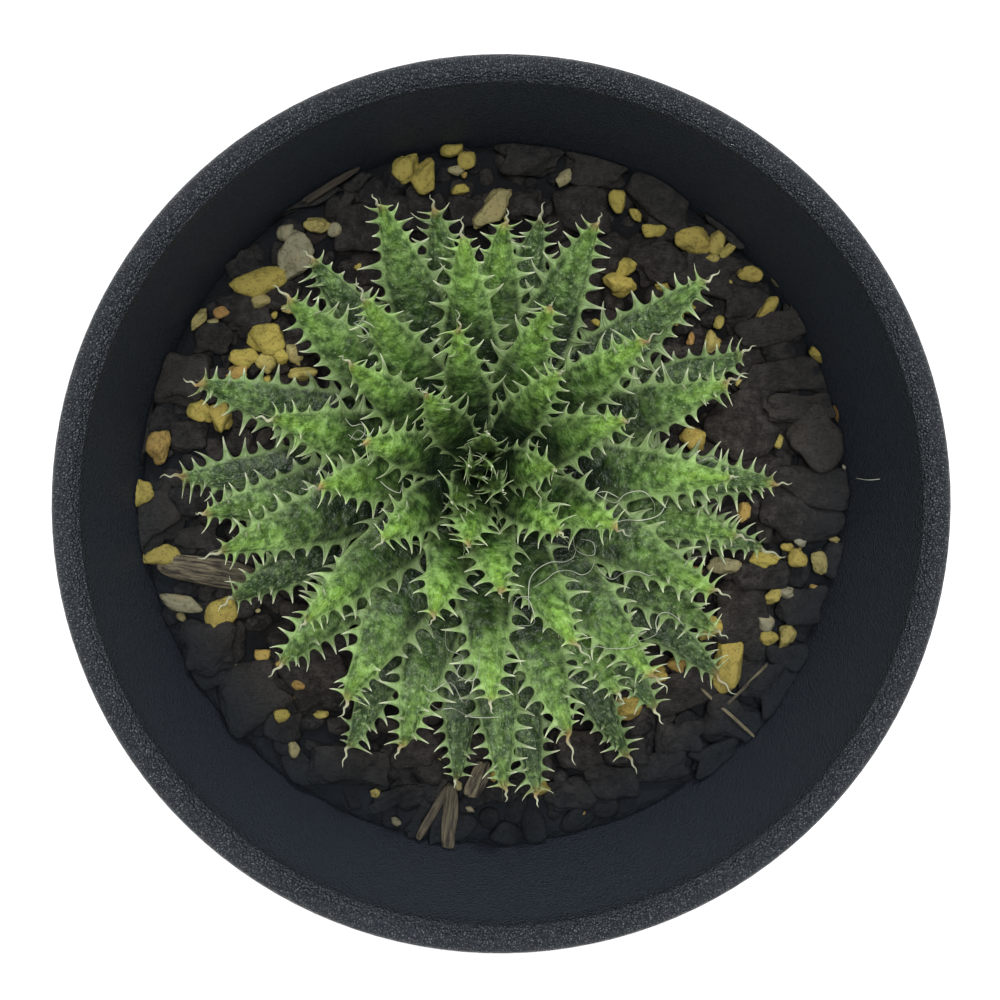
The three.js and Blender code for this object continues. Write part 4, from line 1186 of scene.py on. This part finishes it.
class HAWORTHIA_OT_mix(Operator):
    """Models the fine mix that fills the pot, with bark chips, pumice pebbles and slivers of wood on it"""

    bl_idname = "haworthia.make_mix"
    bl_label = "Make potting mix"

    def execute(self, context):
        settings = context.scene.haworthia_mix
        for make in (self.make_soil, self.make_bark, self.make_pebbles, self.make_slivers):
            make(settings, settings.level / MM)
        return {"FINISHED"}

    def make_soil(self, settings, level):
        low = FLOOR_TOP + SOIL_GAP
        edge = inner_radius(level) - SOIL_GAP
        profile = [(0, low), (inner_radius(low) - SOIL_GAP, low)]
        profile += [(between(edge, 0, i / SOIL_RINGS), level) for i in range(SOIL_RINGS + 1)]
        bm = spun(profile, SOIL_SIDES)
        for vert in bm.verts:
            if vert.co.z > level - 0.01:
                vert.co.z += 0.7 * noise.noise(vert.co * 0.35) + 0.35 * noise.noise(vert.co * 1.1)
        soil = combine(mesh_from(bm), stem_column(STEM_ROOM), "DIFFERENCE")
        soil = combine(soil, root_cones(ROOT_ROOM), "DIFFERENCE")
        dress("soil", soil, soil_finish(settings), "bark_mix", ["potting_mix"])

    def make_bark(self, settings, level):
        draws = random.Random(BARK_SEED)
        finish = bark_finish(settings)
        heap = Heap()
        for x, y in spread_out(settings.fill_chips, NEAR_STEM, inner_radius(level) - 1):
            length = settings.chip_length / MM * draws.uniform(0.5, 1.3)
            width = length * draws.uniform(0.5, 0.9)
            tilt = some_tilt(draws, 25)
            part = chip_shape(draws, 1)
            place = (x, y, level + draws.uniform(-0.5, 0.7))
            size = (length, width, width * draws.uniform(0.5, 0.8))
            heap.lay(part, size, tilt, draws.uniform(0, math.pi), place, draws.uniform(0.1, 0.45))
        heap.dress("bark_crumbs", finish, "bark_mix", levels=1)
        heap = Heap()
        for x, y, length, width, turn, tone in BARK_CHIPS:
            part = chip_shape(draws, 5)
            tilt = some_tilt(draws, 9)
            thickness = min(CHIP_HIGHEST, width * draws.uniform(0.5, 0.7))
            place = (x, y, level + draws.uniform(0.9, 1.4))
            size = (CHIP_OVERSIZE * length, CHIP_OVERSIZE * width, thickness)
            heap.lay(part, size, tilt, math.radians(turn), place, tone, CHIP_LUMPS, draws)
        heap.dress("bark_chips", finish, "bark_mix", levels=1)

    def make_pebbles(self, settings, level):
        draws = random.Random(PEBBLE_SEED)
        heap = Heap()
        for x, y, length, width, turn, tone in PEBBLES:
            part = pebble_shape(draws, 4 if length > LARGE_PEBBLE else 3)
            height = min(PEBBLE_HIGHEST, 0.45 * (length + width))
            size = (PEBBLE_OVERSIZE * length, PEBBLE_OVERSIZE * width, height)
            place = (x, y, level + between(1.5, 2.0, min(1, width / 3)))
            heap.lay(part, size, some_tilt(draws, 10), math.radians(turn), place, tone)
        for x, y in spread_out(GRAINS, GRAINS_NEAR, inner_radius(level) - 0.8, GRAINS_TURN):
            width = draws.uniform(0.4, 1.1)
            part = pebble_shape(draws, 2)
            place = (x, y, level + draws.uniform(0.5, 1.3))
            size = (width * 1.3, width, width * 0.9)
            heap.lay(part, size, (0, 0), draws.uniform(0, math.pi), place, draws.choice(GRAIN_TONES))
        heap.dress("pumice_pebbles", pumice_finish(settings), "bark_mix")

    def make_slivers(self, settings, level):
        draws = random.Random(SLIVER_SEED)
        heap = Heap()
        for (x0, y0), (x1, y1), width, tone in SLIVERS:
            part = chip_shape(draws, 6, 4.0, 0.16)
            place = ((x0 + x1) / 2, (y0 + y1) / 2, level + 2.3)
            size = (math.hypot(x1 - x0, y1 - y0) * 1.05, width * 1.1, min(0.8, width * 0.6))
            way = part.verts.layers.float_vector.new("way")
            for vert in part.verts:
                vert[way] = Vector((vert.co.x * size[0], vert.co.y * size[1], vert.co.z * size[2] + x0))
            tilt = (0, math.radians(draws.uniform(-3, 3)))
            heap.lay(part, size, tilt, math.atan2(y1 - y0, x1 - x0), place, tone)
        heap.dress("wood_slivers", wood_finish(settings), "bark_mix", levels=1)


class HAWORTHIA_OT_leaves(Operator):
    """Models the rosette: every leaf in its place, and the heart of unopened leaves"""

    bl_idname = "haworthia.make_leaves"
    bl_label = "Make leaves"

    def execute(self, context):
        settings = context.scene.haworthia_leaf
        finish = leaf_finish(settings)
        heap = Heap()
        for i in range(1, HEART_LEAVES + 1):
            reach = max(HEART_LEAST_REACH, HEART_REACH - HEART_STEP * i)
            plan = LeafPlan(LEAVES[0][0] - i * SPIRAL_STEP, reach, 0, HEART_SEED + i)
            plan.shrink(HEART_STEP * i, 1 - HEART_SHRINK * i)
            heap.add(grow_leaf(plan, settings))
        heap.dress("heart_bud", finish, "leaf_bright", ["heart_leaves"], levels=1)
        for i, (direction, reach) in enumerate(LEAVES):
            plan = LeafPlan(direction, reach, i / (len(LEAVES) - 1), LEAF_SEED + i)
            node = f"leaf_{i + 1:02d}"
            slot = "leaf_bright" if i < HIGH_LEAVES else "leaf_dull"
            dress(f"{node}_blade", mesh_from(grow_leaf(plan, settings)), finish, slot, [node], levels=1)
        return {"FINISHED"}


class HAWORTHIA_OT_hairs(Operator):
    """Models the fine dry hairs that have dropped on the leaves"""

    bl_idname = "haworthia.make_hairs"
    bl_label = "Make loose hairs"

    def execute(self, context):
        settings = context.scene.haworthia_leaf
        draws = random.Random(HAIR_SEED)
        carriers = self.carriers(context)
        heap = Heap()
        for bends in LOOSE_HAIRS:
            points = self.laid(rounded(bends, HAIR_STEP), carriers)
            if len(points) < LEAST_HAIR:
                continue
            last = len(points) - 1
            radius = settings.hair_width / MM / 2 * draws.uniform(0.8, 1.25)
            radii = [radius * between(0.45, 1, min(1, 4 * min(i, last - i) / last)) for i in range(last + 1)]
            heap.add(thread(points, radii), draws.uniform(0.4, 1))
        heap.dress("loose_hairs", hair_finish(settings), "leaf_bright")
        return {"FINISHED"}

    def carriers(self, context):
        """Everything that a hair can lie on, as one tree of faces in millimetres."""
        corners, faces = [], []
        for piece in context.scene.objects:
            if piece.name.endswith("_blade") or piece.name in CARRIERS:
                first = len(corners)
                corners += [vert.co / MM for vert in piece.data.vertices]
                faces += [[first + corner for corner in face.vertices] for face in piece.data.polygons]
        return BVHTree.FromPolygons(corners, faces)

    def laid(self, pixels, carriers):
        """The hair's points in millimetres, on what lies under each place in the picture, and tight over gaps."""
        right, up, forward = camera_axes()
        middle = PHOTO_WIDTH / 2
        sights, reaches = [], []
        for x, y in pixels:
            sight = (forward * FOCAL_PIXELS + right * (x - middle) - up * (y - middle)).normalized()
            place, _, _, reach = carriers.ray_cast(CAMERA_PLACE, sight)
            if place:
                sights.append(sight)
                reaches.append(reach)
        spans = [slice(max(0, i - HAIR_TIGHTNESS), i + HAIR_TIGHTNESS + 1) for i in range(len(sights))]
        near = [min(reaches[span]) for span in spans]
        return [
            CAMERA_PLACE + sight * (sum(near[span]) / len(near[span]) - HAIR_CLEARANCE)
            for sight, span in zip(sights, spans)
        ]


class HAWORTHIA_OT_stage(Operator):
    """Sets up the pale floor, the soft light and the camera"""

    bl_idname = "haworthia.make_stage"
    bl_label = "Make stage"

    def execute(self, context):
        scene = context.scene
        settings = scene.haworthia_stage
        scene.view_settings.view_transform = "Standard"
        bm = bmesh.new()
        bmesh.ops.create_grid(bm, x_segments=1, y_segments=1, size=FLOOR_HALF)
        floor = add_object("floor", mesh_from(bm))
        floor.data.materials.append(floor_finish(settings))
        self.make_sky(scene, settings.sky_strength)
        self.add_light("main_light", settings.sun_strength, 20, Vector((0, 0.08, 1)))
        self.add_light("side_light", settings.side_strength, 8, Vector((0.08, 0.8, 1)))
        camera = bpy.data.cameras.new("camera")
        camera.sensor_width = SENSOR_WIDTH
        camera.lens = camera.sensor_width * FOCAL_PIXELS / PHOTO_WIDTH
        camera.clip_start = 0.01
        scene.camera = add_object("camera", camera)
        right, up, forward = camera_axes()
        turned = Matrix((right, up, -forward)).transposed().to_4x4()
        scene.camera.matrix_world = Matrix.Translation(CAMERA_PLACE * MM) @ turned
        return {"FINISHED"}

    def add_light(self, name, strength, spread, place):
        """Adds a sun as wide as this spread in degrees, which shines from a place to the middle."""
        lamp = bpy.data.lights.new(name, "SUN")
        lamp.angle = math.radians(spread)
        lamp.energy = strength
        holder = add_object(name, lamp)
        holder.location = place
        holder.rotation_euler = (-place).to_track_quat("-Z", "Y").to_euler()

    def make_sky(self, scene, strength):
        """An even light from all sides, and a white backdrop where the camera sees past the floor."""
        scene.world = bpy.data.worlds.new("soft_sky")
        nodes = Nodes(scene.world)
        sky, backdrop = (nodes.add("Background", Color=WHITE, Strength=power).outputs[0] for power in (strength, 1.0))
        seen = nodes.add("LightPath").outputs["Is Camera Ray"]
        nodes.add("OutputWorld", Surface=nodes.add("MixShader", values=(seen, sky, backdrop)).outputs[0])


class HAWORTHIA_PT_sidebar(Panel):
    """Lists the plant's settings and makers"""

    bl_label = "Potted haworthia"
    bl_idname = "HAWORTHIA_PT_sidebar"
    bl_space_type = "VIEW_3D"
    bl_region_type = "UI"
    bl_category = "Haworthia"

    def draw(self, context):
        for group, _, makers in GROUPS:
            box = self.layout.box()
            settings = getattr(context.scene, group)
            for name in settings.__annotations__:
                box.prop(settings, name)
            for maker in makers:
                box.operator(maker.bl_idname)


GROUPS = [
    ("haworthia_pot", PotSettings, [HAWORTHIA_OT_pot]),
    ("haworthia_mix", MixSettings, [HAWORTHIA_OT_stem, HAWORTHIA_OT_mix]),
    ("haworthia_leaf", LeafSettings, [HAWORTHIA_OT_leaves, HAWORTHIA_OT_hairs]),
    ("haworthia_stage", StageSettings, [HAWORTHIA_OT_stage]),
]
CLASSES = [kind for _, settings, makers in GROUPS for kind in (settings, *makers)] + [HAWORTHIA_PT_sidebar]


def register():
    for kind in CLASSES:
        bpy.utils.register_class(kind)
    for name, settings, _ in GROUPS:
        setattr(bpy.types.Scene, name, PointerProperty(type=settings))


def unregister():
    for name, _, _ in GROUPS:
        delattr(bpy.types.Scene, name)
    for kind in reversed(CLASSES):
        bpy.utils.unregister_class(kind)


def main():
    register()
    bpy.ops.haworthia.make_stage()
    bpy.ops.haworthia.make_pot()
    bpy.ops.haworthia.make_stem()
    bpy.ops.haworthia.make_mix()
    bpy.ops.haworthia.make_leaves()
    bpy.ops.haworthia.make_hairs()


if __name__ == "__main__":
    main()
